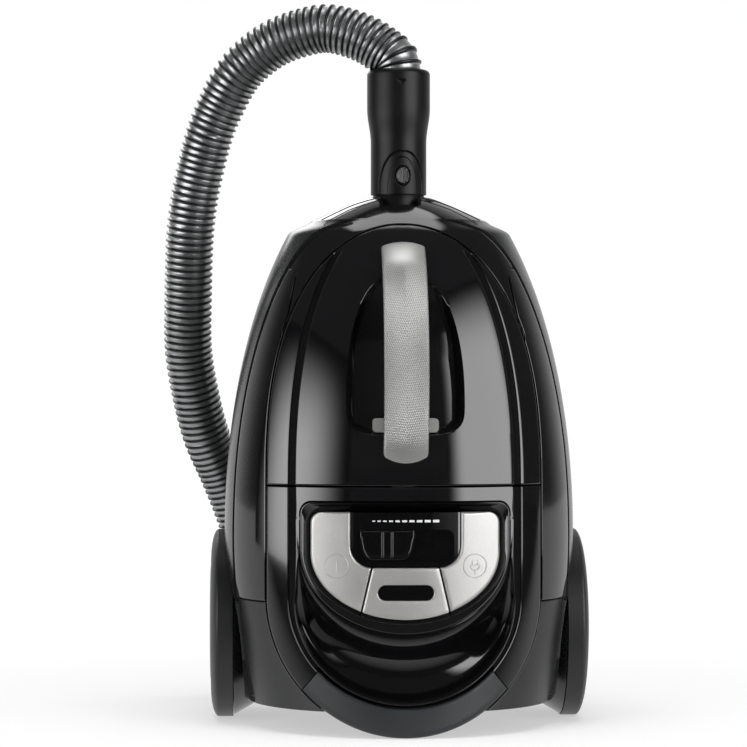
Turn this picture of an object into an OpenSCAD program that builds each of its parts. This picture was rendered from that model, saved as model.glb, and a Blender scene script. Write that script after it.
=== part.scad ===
// Canister vacuum cleaner with a lift-off dust container, parked upright on its rear end.
// Z points up as it stands, X to its right, -Y is the top side that carries the handle,
// +Y is the underside with the wheels. The floor is z = 0.

/* [Housing] */
// Widest part of the housing
body_w = 276; // [270:1:282]
// Height of the widest part above the floor
widest_z = 150; // [140:1:160]
// Vertical half axis of the plan outline above the widest part
plan_r = 305; // [300:1:315]
// How much each side narrows from the widest part to the tail
tail_narrow = 20; // [15:1:24]
// Depth of the crowned top side in front of the middle
crown_d = 120; // [117:1:123]
// Height of the deepest part of the crown
crown_z = 200; // [195:1:205]
// Vertical half axis of the crown above its deepest part
crown_r = 219; // [217:1:222]
// Extra depth of the crown at the floor
chin = 5.5; // [3:0.5:7]
// Depth of the underside behind the middle
keel_d = 94.5; // [92:0.5:96]
// Height of the rear wall above the floor
tail_z = 19; // [18:1:22]
// Height of the housing where the nose cap starts
nose_z = 395; // [390:1:396]
// Rise of the domed nose cap
nose_rise = 19; // [14:1:24]
// Wall of the moulded covers
wall = 3; // [2.4:0.1:3.4]
// Seam between two covers
seam = 0.8; // [0.6:0.1:1]

/* [Container] */
// Height of the straight seam between container and rear deck
cover_z = 190; // [188:1:194]
// Width of the container cover at its lower edge
cover_w = 210; // [206:1:212]
// Height of the arched container cover
cover_h = 200; // [196:1:200]
// Depth of the decorative grooves
groove_d = 2; // [1:0.1:2.2]
// Width of the decorative grooves
groove_w = 5; // [3:0.5:6]
// Depth of the hand recess under the handle
recess_d = 22; // [16:1:24]
// Outer radius of the dust cup
cup_r = 72; // [66:1:74]
// Wall of the dust cup
cup_wall = 2; // [1.6:0.1:2.6]
// Height of the dust cup's axis
cup_z = 276; // [274:1:278]

/* [Handle] */
// Width of the carrying handle
handle_w = 34; // [28:1:38]
// Radius of the handle's outer arc
handle_r = 121.5; // [119:0.5:123]
// Thickness of the silver grip cover
grip_t = 5; // [4:0.5:6]
// Thickness of the black handle core
core_t = 7; // [5:0.5:8]

/* [Controls] */
// Width of the control bezel
bezel_w = 160; // [156:1:162]
// Height of the bezel's top edge
bezel_top = 178; // [176:1:180]
// Radius of the curved face across the controls
face_r = 208; // [200:1:220]
// Press travel of the two keys
key_travel = 3; // [2:0.5:3.5]
// Travel of the suction slider
slider_travel = 30; // [20:1:30]
// Width of the slider knob
knob_w = 39.4; // [34:0.2:42]

/* [Wheels] */
// Diameter of the rear wheels
wheel_d = 150; // [146:1:152]
// Distance over the outer faces of the wheels
track_w = 300; // [298:1:304]
// Width of a rear wheel
wheel_w = 41; // [36:1:42]
// Diameter of the stub axles
axle_d = 10; // [8:1:12]
// Diameter of the castor wheel
caster_d = 30; // [24:1:30]
// Height of the castor's swivel axis as parked
caster_z = 345; // [338:1:350]

/* [Hose] */
// Outer diameter of the hose
hose_d = 38; // [34:1:40]
// Wall of the hose with its corrugation
hose_wall = 2.5; // [2:0.1:3]
// Diameter of the cuff where it enters the nose
cuff_d = 43.5; // [42:0.5:45]
// Diameter of the cuff at its rim
cuff_rim_d = 49.4; // [47:0.2:51]
// Length of the cuff outside the nose
cuff_len = 98; // [92:1:104]

/* [Drive] */
// Diameter of the fan shroud
shroud_d = 104; // [98:1:106]
// Diameter of the motor can
motor_d = 78; // [70:1:80]
// Diameter of the motor shaft
shaft_d = 8; // [6:1:9]
// Number of fan blades
blade_count = 9; // [7:1:11]
// Diameter of the cable reel's flanges
reel_d = 132; // [120:1:134]
// Distance over the reel's flanges
reel_w = 56; // [44:1:56]

/* [Hidden] */
$fn = 64;

fit = 0.05;            // radial clearance of a running fit
gap = 0.3;             // clearance of a loose seat
mid_y = 15;            // plane of the widest silhouette
front_n = 2.3;         // roundness of the crowned side
back_n = 5;            // roundness of the underside
keel_z = 345;          // where the underside starts to rise to the nose
part_y = -30;          // parting plane between tub and body frame
frame_t = 4;           // thickness of the body frame
frame_y = part_y - frame_t;
floor_y = wheel_d / 2 + 47.5;   // plane that the wheels roll on
wheel_y = 47.5;
wheel_z = wheel_d / 2;
arch_x = track_w / 2 - wheel_w - 5;    // inner wall of the wheel arches
arch_r = wheel_d / 2 + 5.5;
bulk_z = cover_z - 8;  // underside of the bulkhead
bulk_t = 6;
inlet = [0, mid_y];    // axis of the hose inlet
nose_top = nose_z + nose_rise;
motor = [-44, mid_y];  // axis of motor and fan
reel_x = 54;
reel_c = [20, 100];    // axis of the reel in Y and Z
gland = [90, -66, 31];   // mouth of the cord outlet
ring_in = [88.5, 82.7];   // half axes of the ring's inner edge, round (0, 105)
ring_out = [105, 105];    // half axes of its outer edge
ring_cut = 48;            // where the soft bumper takes over, degrees from the bottom
face_y = -106.5 + face_r;   // axis of the curved control face
mount_z = 52;          // height of the motor's lower mount
caster_r = 28.7;       // outer radius of the castor's socket
door = [[-68, 78], [-8, 146]];   // exhaust door, opposite corners in X and Z
hinge_y = 106.6;       // axis of the exhaust door
hinge_z = 149.5;
cup_front = -57.5;     // rim of the dust cup
cup_back = 75;         // bottom of the dust cup
handle_front = -122.5; // front of the handle's arc
handle_c = [handle_front + handle_r, 270];    // centre of the arc in Y and Z
handle_lo = 206;       // lowest and highest point of the handle
handle_hi = 376;
shell_black = "#17181a";
trim_black = "#26282a";
silver = "#b9bcbe";

// ---------------------------------------------------------------- housing surfaces

// half width of the silhouette at height z
function plan_half(z) = z >= widest_z
    ? body_w / 2 * sqrt(max(0, 1 - pow((z - widest_z) / plan_r, 2)))
    : body_w / 2 - tail_narrow * pow((widest_z - z) / widest_z, 2);
// depth of the crown in front of the middle at height z
function crown(z) = z >= crown_z
    ? crown_d * sqrt(max(0.001, 1 - pow((z - crown_z) / crown_r, 2)))
    : crown_d + chin * pow((crown_z - z) / crown_z, 2);
// depth of the underside behind the middle at height z
function keel(z) = z <= keel_z ? keel_d : keel_d - 50 * pow((z - keel_z) / (nose_z + 1 - keel_z), 2);
// the crowned skin, sunk by t
function skin_y(x, z, t = 0) = mid_y - (crown(z) - t)
    * pow(max(0, 1 - pow(min(1, abs(x) / (plan_half(z) - t)), front_n)), 1 / front_n);
// half width of the skin where it crosses the plane y
function cross_x(z, y, t = 0) = (plan_half(z) - t)
    * pow(max(0, 1 - pow(min(1, (mid_y - y) / (crown(z) - t)), front_n)), 1 / front_n);
// half width of the underside where it crosses the plane y
function keel_x(z, y, t = 0) = (plan_half(z) - t)
    * pow(max(0, 1 - pow(min(1, (y - mid_y) / (keel(z) - t)), back_n)), 1 / back_n);
// point of the closed section at height z, angle a from the front
function ring_pt(z, a, t) =
    let (s = sin(a), c = cos(a), n = c > 0 ? front_n : back_n, d = c > 0 ? crown(z) : keel(z))
    [sign(s) * (plan_half(z) - t) * pow(abs(s), 2 / n),
     mid_y - sign(c) * (d - t) * pow(abs(c), 2 / n)];
// half width of the container cover at height z
function cover_x(z) = cover_w / 2
    * sqrt(max(0, 1 - pow(max(0, z - cover_z) / cover_h, 2.6)));
// half width of the decorative groove's middle at height z
function groove_x(z) = 86 * sqrt(max(0, 1 - pow(max(0, z - cover_z) / 212, 2.4)));
// inner and outer edge of the ring round the rear deck
function ring_x(z, half, drop) = z >= 105 ? half
    : half * sqrt(max(0, 1 - pow((105 - z) / drop, 2)));
// smooth step from 0 to 1 between a and b
function ease(v, a, b) = let (t = min(1, max(0, (v - a) / (b - a)))) t * t * (3 - 2 * t);

// ---------------------------------------------------------------- sheet helpers

// triangles of a closed sheet: outer grid, inner grid and the four edges
function sheet_faces(m, n) =
    let (o = function(i, j) i * n + j, q = function(i, j) m * n + i * n + j)
    concat(
        [for (i = [0:m - 2], j = [0:n - 2]) each [
            [o(i, j), o(i + 1, j), o(i + 1, j + 1)], [o(i, j), o(i + 1, j + 1), o(i, j + 1)],
            [q(i, j), q(i + 1, j + 1), q(i + 1, j)], [q(i, j), q(i, j + 1), q(i + 1, j + 1)]]],
        [for (j = [0:n - 2]) each [
            [o(0, j), o(0, j + 1), q(0, j + 1)], [o(0, j), q(0, j + 1), q(0, j)],
            [o(m - 1, j), q(m - 1, j + 1), o(m - 1, j + 1)],
            [o(m - 1, j), q(m - 1, j), q(m - 1, j + 1)]]],
        [for (i = [0:m - 2]) each [
            [o(i, 0), q(i + 1, 0), o(i + 1, 0)], [o(i, 0), q(i, 0), q(i + 1, 0)],
            [o(i, n - 1), o(i + 1, n - 1), q(i + 1, n - 1)],
            [o(i, n - 1), q(i + 1, n - 1), q(i, n - 1)]]]);

// closed sheet between two grids given as rows of points
module sheet(outer, inner) {
    polyhedron([for (r = outer) each r, for (r = inner) each r],
        sheet_faces(len(outer), len(outer[0])), convexity = 8);
}

// triangles of a closed tube of m rings with n points each, with flat ends
function tube_faces(m, n) = concat(
    [for (i = [0:m - 2], j = [0:n - 1]) let (k = (j + 1) % n) each [
        [i * n + j, (i + 1) * n + j, (i + 1) * n + k], [i * n + j, (i + 1) * n + k, i * n + k]]],
    [for (j = [1:n - 2]) [0, j, j + 1]],
    [for (j = [1:n - 2]) [(m - 1) * n, (m - 1) * n + j + 1, (m - 1) * n + j]]);

// triangles of a closed tube whose last ring joins the first
function loop_faces(m, n) = [for (i = [0:m - 1], j = [0:n - 1])
    let (i2 = (i + 1) % m, k = (j + 1) % n) each [
        [i * n + j, i2 * n + k, i2 * n + j], [i * n + j, i * n + k, i2 * n + k]]];

// extrusion of a front-view outline (X, Z) from y0 to y1
module front_slab(y0, y1) {
    translate([0, y1, 0]) rotate([90, 0, 0]) linear_extrude(y1 - y0) children();
}
// extrusion of a side-view outline (Y, Z) from x0 to x1
module side_slab(x0, x1) {
    translate([x0, 0, 0]) rotate([90, 0, 90]) linear_extrude(x1 - x0) children();
}
// cylinders along the three axes, from one end to the other
module rod_x(x0, x1, c, r) { translate([x0, c[0], c[1]]) rotate([0, 90, 0]) cylinder(r = r, h = x1 - x0); }
module rod_y(y0, y1, c, r) { translate([c[0], y1, c[1]]) rotate([90, 0, 0]) cylinder(r = r, h = y1 - y0); }
module rod_z(z0, z1, c, r) { translate([c[0], c[1], z0]) cylinder(r = r, h = z1 - z0); }
// box between two corners
module block(a, b) { translate(a) cube(b - a); }
// mirrored pair
module pair() { children(); mirror([1, 0, 0]) children(); }
// rectangle with rounded corners, centred
module soft_rect(w, h, r) {
    union() {
        square([w - 2 * r, h], center = true);
        square([w, h - 2 * r], center = true);
        for (x = [-1, 1], y = [-1, 1]) translate([x * (w / 2 - r), y * (h / 2 - r)]) circle(r, $fn = 32);
    }
}

// ---------------------------------------------------------------- tub and frame

// rows of the tub: [height of the section, share of the section, height of the row]
tub_rows = concat(
    [[tail_z + 6, 0.03, tail_z], [tail_z + 6, 0.9, tail_z], [tail_z + 6, 0.975, tail_z + 1.5],
     [tail_z + 7, 1, tail_z + 6]],
    [for (z = [45, 75, 110, 150, 190, 230, 270, 300, 325, 345, 360, 372, 382, nose_z - 4]) [z, 1, z]],
    [[nose_z, 1, nose_z]]);
tub_steps = 28;
function tub_pt(row, k, t, up) =
    let (z = row[0], a0 = acos(pow(min(1, (mid_y - part_y) / (crown(z) - t)), front_n / 2)),
         a = a0 + (360 - 2 * a0) * k / tub_steps, p = ring_pt(z, a, t))
    [p[0] * row[1], part_y + row[1] * (p[1] - part_y), max(row[2], up)];

// tub that carries everything, with wheel pockets, openings and the parking bracket underneath
module base_housing() color(shell_black) {
    union() difference() {
        sheet([for (r = tub_rows) [for (k = [0:tub_steps]) tub_pt(r, k, 0, 0)]],
            [for (i = [0:len(tub_rows) - 1]) [for (k = [0:tub_steps])
                tub_pt(tub_rows[i], k, wall, tail_z + wall + i * 0.02)]]);
        for (s = [-1, 1]) rod_x(s > 0 ? arch_x - 2.5 : -200, s > 0 ? 200 : 2.5 - arch_x,
            [wheel_y, wheel_z], arch_r + gap);
        rod_y(60, 130, [0, caster_z], caster_r + gap);
        block([door[0][0] - seam, 95, door[0][1] - seam], [door[1][0] + seam, 130, door[1][1] + 7]);
    }
    rod_z(tail_z + 1, mount_z, motor, 14);
    rod_y(cup_back + gap, mid_y + keel_d - 1, [0, 240], 12);
    difference() {
        block([-20, mid_y + keel_d - 1, 175], [20, mid_y + keel_d + 10, 200]);
        block([-14, mid_y + keel_d + 2, 174], [14, mid_y + keel_d + 8.5, 201]);
    }
}

// front-view outline at the parting plane, set in by d
function part_outline(y, d, z0, z1, n = 22) =
    let (zs = [for (i = [0:n]) z0 + (z1 - z0) * sin(90 * i / n)])
    concat([for (z = zs) [cross_x(z, y) - d, z]], [for (i = [n:-1:0]) [-(cross_x(zs[i], y) - d), zs[i]]]);

// flat frame that joins the tub to all covers of the crowned side
module body_frame() color(trim_black) {
    difference() {
        front_slab(frame_y, part_y) polygon(part_outline(frame_y, 1.2, tail_z + 6.2, nose_z - 1));
        front_slab(frame_y - 1, part_y + 1) polygon(part_outline(frame_y, 11, tail_z + 16, nose_z - 14));
    }
}

// domed cap of the nose, open for the inlet collar
cap_share = [1, 0.985, 0.9, 0.72, 0.5, 0.25, 0];
function cap_pt(f, a, t, down) =
    let (p = ring_pt(nose_z, a, t), q = [hole_r * sin(a), mid_y - hole_r * cos(a)],
         r = q + f * (p - q), e = norm([r[0] / plan_half(nose_z), (r[1] - 22) / 50]))
    [r[0], r[1], nose_z + gap - down + (f > 0.99 ? 0 : 3) + (nose_rise - 3) * (1 - pow(min(1, e), 2))];
module nose_cap() {
    n = 36;
    color(shell_black) polyhedron([for (k = [0:n - 1]) each concat(
            [for (f = cap_share) cap_pt(f, 360 * k / n, 0, 0)],
            [for (i = [len(cap_share) - 1:-1:1]) cap_pt(cap_share[i], 360 * k / n, wall, wall)],
            [let (p = cap_pt(1, 360 * k / n, wall, 0)) [p[0], p[1], nose_z + gap]])],
        loop_faces(n, 2 * len(cap_share)), convexity = 8);
}
hole_r = 24.5;

// ---------------------------------------------------------------- covers of the crowned side

// front band of the nose, from the container's arch to the parting line
nose_low = 300;
nose_steps = 15;
fair_top = nose_low + 4 + (nose_z - nose_low - 4) * sin(36) - 1.2;   // upper end of the side fairings
function nose_inner(u) =
    let (z = nose_low + (cover_z + cover_h - nose_low) * sin(90 * (1 - abs(u))))
    [sign(u) * (cover_x(min(z, cover_z + cover_h)) + seam), z + seam * (1 - abs(u))];
function nose_outer(u) =
    let (z = nose_low + 4 + (nose_z - nose_low - 4) * sin(90 * (1 - abs(u))),
         side = 92 - (z - nose_low) * 0.2,
         x = z < fair_top + 2 ? min(side, cross_x(z, frame_y)) : cross_x(z, frame_y))
    [sign(u) * max(x, cover_x(z) + seam + 1.2), z];
function nose_pt(u, f) =
    let (a = nose_inner(u), p = a + f * (nose_outer(u) - a))
    [p[0], min(frame_y - 0.85, skin_y(p[0], p[1])), p[1]];
module nose_cover() {
    grid = [for (f = [0:0.25:1]) [for (k = [-nose_steps:nose_steps]) nose_pt(k / nose_steps, f)]];
    back = [for (r = grid) [for (p = r) [p[0], max(p[1] + 0.8, min(p[1] + wall, frame_y)), p[2]]]];
    color(shell_black) sheet(grid, back);
}

// point on the crowned side at share f between the half widths xa and xb, sunk by t
function arc_pt(z, xa, xb, f, t) =
    let (w = plan_half(z) - t, d = crown(z) - t,
         pa = asin(pow(min(1, xa / w), front_n / 2)), pb = asin(pow(min(1, xb / w), front_n / 2)),
         p = pa + f * (pb - pa))
    [w * pow(sin(p), 2 / front_n), mid_y - d * pow(cos(p), 2 / front_n), z];
// inner edge of the fairings, beside the container cover and the nose cover
function fairing_in(z) = seam + (z < nose_low ? cover_x(z) : max(cover_x(z) + 1.6, 92 - (z - nose_low) * 0.2));
fairing_rows = [101, 120, 145, 170, 195, 220, 245, 265, 285, nose_low - 2.5, nose_low, 304, 308, 313, 320,
    330, 345, fair_top];
fairing_steps = [0, 0.15, 0.32, 0.5, 0.68, 0.85, 1];
skirt_set = 2.5;       // how far the skirts lie behind the fairings' surface

// glossy shells along both sides, from the skirts up to the nose
module side_fairings() color(shell_black) pair() {
    sheet([for (z = fairing_rows) [for (f = fairing_steps)
            arc_pt(z, fairing_in(z), cross_x(z, frame_y), f, 0)]],
        [for (z = fairing_rows) [for (f = fairing_steps) let (x = cross_x(z, frame_y, wall))
            arc_pt(z, min(fairing_in(z), x - 1), x, f, wall)]]);
}

skirt_rows = [tail_z, 24, 31, 40, 52, 66, 82, 100.2];
function skirt_in(z) = ring_x(z, 105, 105) + seam;
// satin shells below the fairings; the right one has the notch for the cord gland
module side_skirts() color(trim_black) {
    difference() {
        pair() sheet([for (z = skirt_rows) [for (f = fairing_steps)
                arc_pt(z, skirt_in(z), cross_x(z, frame_y, skirt_set), f, skirt_set)]],
            [for (z = skirt_rows) [for (f = fairing_steps)
                arc_pt(z, skirt_in(z), cross_x(z, frame_y, skirt_set + wall), f, skirt_set + wall)]]);
        block([gland[0] - 9, -120, tail_z + 5], [gland[0] + 9, frame_y - 14, gland[2] + 9]);
        block([-92.8, -120, tail_z - 1], [-91.2, frame_y - 12, tail_z + 11]);
    }
}

// rounded outline of the control pod: straight sides, elliptic bottom, corners of radius c
function pod_pts(half, top, knee, drop, c, across = []) = concat(
    [for (a = [-180:10:0]) [half * cos(a), knee + drop * sin(a)]],
    [for (a = [0:15:90]) [half - c + c * cos(a), top - c + c * sin(a)]],
    [for (x = across) [x, top]],
    [for (a = [90:15:180]) [c - half + c * cos(a), top - c + c * sin(a)]]);
pod_half = bezel_w / 2;
pod_knee = 142;
pod_drop = 64;
pod_corner = 9;

// outer and inner end of one ray of the deck, k from 0 at the upper right, clockwise
deck_in = pod_pts(pod_half + 0.5, bezel_top + 0.5, pod_knee, pod_drop + 0.5, pod_corner + 0.5, [60:-15:-60]);
function deck_out(p) =
    let (edge = ring_in - [0.5, 0.5], top = cover_z - seam)
    p[1] > bezel_top - 1 ? [p[0] * (edge[0] - 2) / (pod_half - pod_corner + 2), top]
    : p[1] > pod_knee + 0.1 ? [sign(p[0]) * edge[0], top - (top - 165) * ease(bezel_top - p[1], 0, 8)]
    : let (a = asin(min(1, (pod_knee - p[1]) / (pod_drop + 0.5))), b = (a - 20) * 90 / 70)
      a < 20 ? [sign(p[0]) * edge[0], 105 + 45 * (20 - a) / 20]
      : [sign(p[0]) * edge[0] * cos(b), 105 - edge[1] * sin(b)];
// how deep the concave wall under the pod lies at height z
function dip(z) = ease(142 - z, 0, 50);
module rear_deck() {
    g = groove_d + 1.2;
    rays = [for (p = deck_in)
        let (o = deck_out(p), v = p - o, len = norm(v), n = v / len, f = dip(p[1]),
             top = o[1] > 187 ? 0 : 1, d = 4 * top,
             front = [[0, g * top], [d + 0.05, g * top], [d + 0.4, f], [d + 2.2, f],
                      [d + 3, 30 * f], [d + 3 + (len - d - 3) * 0.55, 24 * f], [len - 0.05, 17 * f],
                      [len, 17 * f], [len, 17 * f + 8]],
             back = [[len - 2.4, 17 * f + 8], [len - 2.5, 17 * f + wall], [len - 2.55, 17 * f + wall],
                     [min(d + 3 + (len - d - 3) * 0.55, len - 2.6), 24 * f + wall],
                     [d + 0.7, 30 * f + wall], [d + 0.3, f + g + wall],
                     [d * 0.5 + 0.15, g * top + wall], [0, g * top + wall]])
        [for (c = concat(front, back)) let (q = o + n * c[0]) [q[0], skin_y(q[0], q[1]) + c[1], q[1]]]];
    color(shell_black) polyhedron([for (r = rays) each r], loop_faces(len(rays), len(rays[0])), convexity = 8);
}

// point of the ring at angle b from the bottom, share f from inside to outside, depth d
function ring_band(b, f, d) =
    let (a = [ring_in[0] * sin(b), 105 - ring_in[1] * cos(b)],
         c = [ring_out[0] * sin(b), 105 - ring_out[1] * cos(b)], p = a + f * (c - a))
    [p[0], skin_y(p[0], p[1]) + d, p[1]];
// soft bumper round the tail, which the cleaner leans on when it is parked
module rear_bumper() {
    section = [[0, 3.5], [0.06, 1], [0.2, 0], [0.75, 0], [0.93, 1.4], [1, 5], [1, 20], [0.92, 23], [0.1, 23],
        [0, 20]];
    color("#2b2d2f") polyhedron([for (b = [-ring_cut:3:ring_cut]) for (c = section) ring_band(b, c[0], c[1])],
        tube_faces(2 * ring_cut / 3 + 1, len(section)), convexity = 4);
}

// glossy arms of the ring on both sides of the deck
module deck_trim() color(shell_black) pair() {
    section = [[0, 2], [0.04, 0.4], [0.2, 0], [0.85, 0], [0.97, 0.3], [1, 1.5], [1, 7], [0.8, 7], [0.75, 3.4],
        [0.2, 3.4], [0.1, 5], [0, 5]];
    bends = [for (b = [ring_cut + 0.5:4.1:90]) b];
    tops = [for (z = [107:16:cover_z - seam - 10]) z];
    ups = concat(tops, [cover_z - seam]);
    rows = concat([for (b = bends) [for (c = section) ring_band(b, c[0], c[1])]],
        [for (z = ups) [for (c = section)
            let (x = ring_in[0] + c[0] * (ring_out[0] - ring_in[0])) [x, skin_y(x, z) + c[1], z]]]);
    polyhedron([for (r = rows) each r], tube_faces(len(rows), len(section)), convexity = 4);
}

// floor plate of the tail between bumper, skirts and tub
module rear_apron() {
    z = tail_z + 1.5;
    t = skirt_set + wall + gap;
    c = 1 - (tail_z + 3) / ring_out[1];
    e = ring_out[0] * sqrt(1 - c * c) + 2;      // just beside the bumper
    side = concat([for (a = [0:9:54], x = [cross_x(z, part_y - gap, t) * cos(a)]) if (x > e + 1)
            [x, min(part_y - gap, skin_y(x, z, t))]],
        [[e, skin_y(e, z, t)], [e, skin_y(e, z) + 26]]);
    color(trim_black) translate([0, 0, tail_z]) linear_extrude(3)
        polygon(concat(side, [for (i = [len(side) - 1:-1:0]) [-side[i][0], side[i][1]]],
            [[-side[0][0], part_y - gap], [side[0][0], part_y - gap]]));
}

// radius of the wheel arch towards angle a, cut off by the underside and the tail
function arch_reach(a) = min(arch_r,
    cos(a) > 0 ? (keel_d + mid_y - 6.5 - wheel_y) / max(0.001, cos(a)) : 1000,
    sin(a) < 0 ? (wheel_z - tail_z - 0.6) / max(0.001, -sin(a)) : 1000);
// where the arch wall ends: at the tub's skin, or right at the disc where it is cut off
function arch_top(a) =
    let (y = wheel_y + arch_r * cos(a), z = wheel_z + arch_r * sin(a))
    arch_reach(a) < arch_r - 0.01 || z < tail_z ? arch_x + 0.6
    : max(arch_x + 0.6, y < mid_y ? cross_x(z, y) : keel_x(z, y));
// linings of both wheel pockets
module wheel_arches() color(trim_black) pair() {
    n = 48;
    front = wheel_y - part_y - gap;
    pts = [for (i = [0:n - 1]) let (a = 360 * i / n, r = arch_reach(a), x = arch_top(a),
            ro = r < arch_r - 0.01 ? r : min(r, front / max(0.001, -cos(a))),
            ri = ro < r - 0.01 ? max(ro - 2.4, wheel_d / 2 + 1) : ro - 2.4) each
        [for (c = [[arch_x - 2.5, ro], [x, ro], [x, ri], [arch_x, ri]])
            [c[0], wheel_y + c[1] * cos(a), wheel_z + c[1] * sin(a)]]];
    faces = [for (i = [0:n - 1]) let (k = (i + 1) % n) each concat(
        [for (j = [0:2]) each [[i * 4 + j, k * 4 + j + 1, k * 4 + j], [i * 4 + j, i * 4 + j + 1, k * 4 + j + 1]]],
        [[i * 4 + 3, 4 * n + 1, k * 4 + 3], [k * 4, 4 * n, i * 4]])];
    polyhedron(concat(pts, [[arch_x - 2.5, wheel_y, wheel_z], [arch_x, wheel_y, wheel_z]]), faces, convexity = 4);
}

// half width and depth of the hand recess at height z
recess_lo = 229;
recess_mid = 255;
recess_hi = 356;
function recess_x(z) = z < recess_lo || z > recess_hi ? 4
    : z < recess_mid ? 45 * pow(max(0, 1 - pow((recess_mid - z) / (recess_mid - recess_lo + 1), 4)), 0.25)
    : 4 + 41 * sqrt(max(0, 1 - pow((z - recess_mid) / (recess_hi + 1 - recess_mid), 2.2)));
function recess_y(z) = z < recess_lo ? 0 : recess_d * ease(recess_hi - z, 0, 70);
// columns of the cover at height z: [share or half width, depth on the face, depth behind]
function cover_cols(z) =
    let (w = cover_x(z) - 0.05, g = min(groove_x(z), w - 3), h = groove_w / 2,
         gd = groove_d * ease(cover_z + cover_h - 8 - z, 0, 6), r = min(recess_x(z), g - 4), d = recess_y(z))
    [[0, d, d + wall], [r * 0.5, d, d + wall], [max(1, r - 4.5), d * 0.97, d + wall], [r, 0, d * 0.6 + wall],
     [r + (g - h - r) * 0.3, 0, wall], [r + (g - h - r) * 0.65, 0, wall], [g - h - 0.3, 0, wall],
     [g - h, gd, wall + 0.6], [g + h, gd, wall + 0.6], [g + h + 0.3, 0, wall], [w, 0, wall]];
cover_rows = [cover_z + 0.1, 205, 220, 227.8, 229.2, 236, 246, 256, 270, 285, 300, 315, 328, 340, 350, 358,
    366, 374, 381, 386, 389];
cover_back_shift = [0, 0, -1.5, -3, -2, 0];
function cover_line(z, zb, i) = let (c = cover_cols(z)) concat(
    [for (k = [len(c) - 1:-1:1]) [-c[k][0], skin_y(c[k][0], z) + c[k][i], zb]],
    [for (k = [0:len(c) - 1]) [c[k][0], skin_y(c[k][0], z) + c[k][i], zb]]);
module container_cover() color(shell_black) difference() {
    sheet([for (z = cover_rows) cover_line(z, z, 1)],
        [for (i = [0:len(cover_rows) - 1]) let (z = cover_rows[i])
            cover_line(z, z + (i < 6 ? cover_back_shift[i] : 0), 2)]);
    for (s = [-1, 1]) rod_y(-95, -72, [s * key_pin[0], key_z], key_pin[1] + fit);
}

// ---------------------------------------------------------------- handle and latch

// part of a ring round an axis along X, from angle a0 to a1 above the -Y direction
module hoop(c, a0, a1) {
    translate([0, c[0], c[1]]) rotate([0, 90, 0])
        rotate_extrude(angle = a1 - a0, start = 270 - a1, $fn = 128) children();
}
// everything behind the crown's middle line, to seat the handle on the cover
module crown_cut() {
    side_slab(-60, 60) polygon(concat([for (z = [195:8:395]) [skin_y(0, z) - 0.1, z]], [[80, 395], [80, 195]]));
}
function handle_angle(z) = asin((z - handle_c[1]) / handle_r);

// black bar inside the carrying handle
module handle_core() color(trim_black) {
    r0 = handle_r - grip_t - core_t;
    difference() {
        hoop(handle_c, handle_angle(handle_lo) + 0.6, handle_angle(handle_hi) - 0.6)
            translate([r0, -handle_w / 2 + 2]) square([core_t, handle_w - 4]);
        crown_cut();
    }
}
// silver cover over the top of the handle, with rounded edges
module handle_grip() color(silver) {
    r0 = handle_r - grip_t;
    c = grip_t - 1.5;
    difference() {
        hoop(handle_c, handle_angle(handle_lo), handle_angle(handle_hi)) intersection() {
            union() {
                translate([r0, -handle_w / 2]) square([grip_t - c, handle_w]);
                translate([r0, -handle_w / 2 + c]) square([grip_t, handle_w - 2 * c]);
                for (s = [-1, 1]) translate([handle_r - c, s * (handle_w / 2 - c)]) circle(c);
            }
            translate([r0, -handle_w / 2]) square([grip_t, handle_w]);
        }
        crown_cut();
    }
}

key_z = 235.8;         // middle of the release key
key_pin = [14, 2.5];   // guide pins: place beside the middle, radius
// silver bar in the hand recess that frees the container
module release_key() color(silver) {
    front_slab(-100, -90) translate([0, key_z]) soft_rect(50, 10.6, 3);
    for (s = [-1, 1]) difference() {
        rod_y(-91, -71, [s * key_pin[0], key_z], key_pin[1]);
        side_slab(s * key_pin[0] - 4, s * key_pin[0] + 4) translate([-74, key_z + 2.5])
            polygon([[0, 0], [4, -4], [5, 3], [0, 3]]);
    }
}
// latch plate behind the recess: its tongue locks into the bulkhead, wedge windows lift it
module latch_slide() color("#d8d6cf") {
    difference() {
        block([-20, -70.7, 193], [20, -67.7, 246]);
        for (s = [-1, 1]) side_slab(s * key_pin[0] - 3, s * key_pin[0] + 3) translate([-70.7, key_z])
            polygon([[-1, -7.2], [4, -7.2], [4, -4.6], [-1, 0.4]]);
    }
    block([-9, -70.7, bulk_z + 3], [9, -67.7, 194]);
}
// coil spring that pushes the latch down, drawn as its outer tube
module latch_spring() color("#9a9c9e") difference() {
    rod_z(246, 262, [0, -69.2], 3.4);
    rod_z(245, 263, [0, -69.2], 2.4);
}

// ---------------------------------------------------------------- dust container

// inner lid on the dust cup, held to the cover by four bosses
module container_top() color("#3a3d40") {
    rod_y(cup_front - 4.6, cup_front - 1.6, [0, cup_z], cup_r + 1.5);
    for (s = [-1, 1], b = [[58, 232], [50, 318]])
        rod_y(skin_y(b[0] + 4.5, b[1] + 4.5) + wall + gap, cup_front - 4, [s * b[0], b[1]], 4);
    rod_y(-67.4, cup_front - 4, [0, 205], 3);
    block([-6, -73, 262], [6, cup_front - 4, 266]);
}
// soft ring between inner lid and cup
module cup_seal() color("#1c1c1c") difference() {
    rod_y(cup_front - 1.6, cup_front, [0, cup_z], cup_r);
    rod_y(cup_front - 2, cup_front + 1, [0, cup_z], cup_r - 5);
}
duct_r = 15;
cup_top = cup_z + cup_r + 2;     // face of the inlet boss
cup_low = cup_z - cup_r - 2;     // face of the outlet boss
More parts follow.
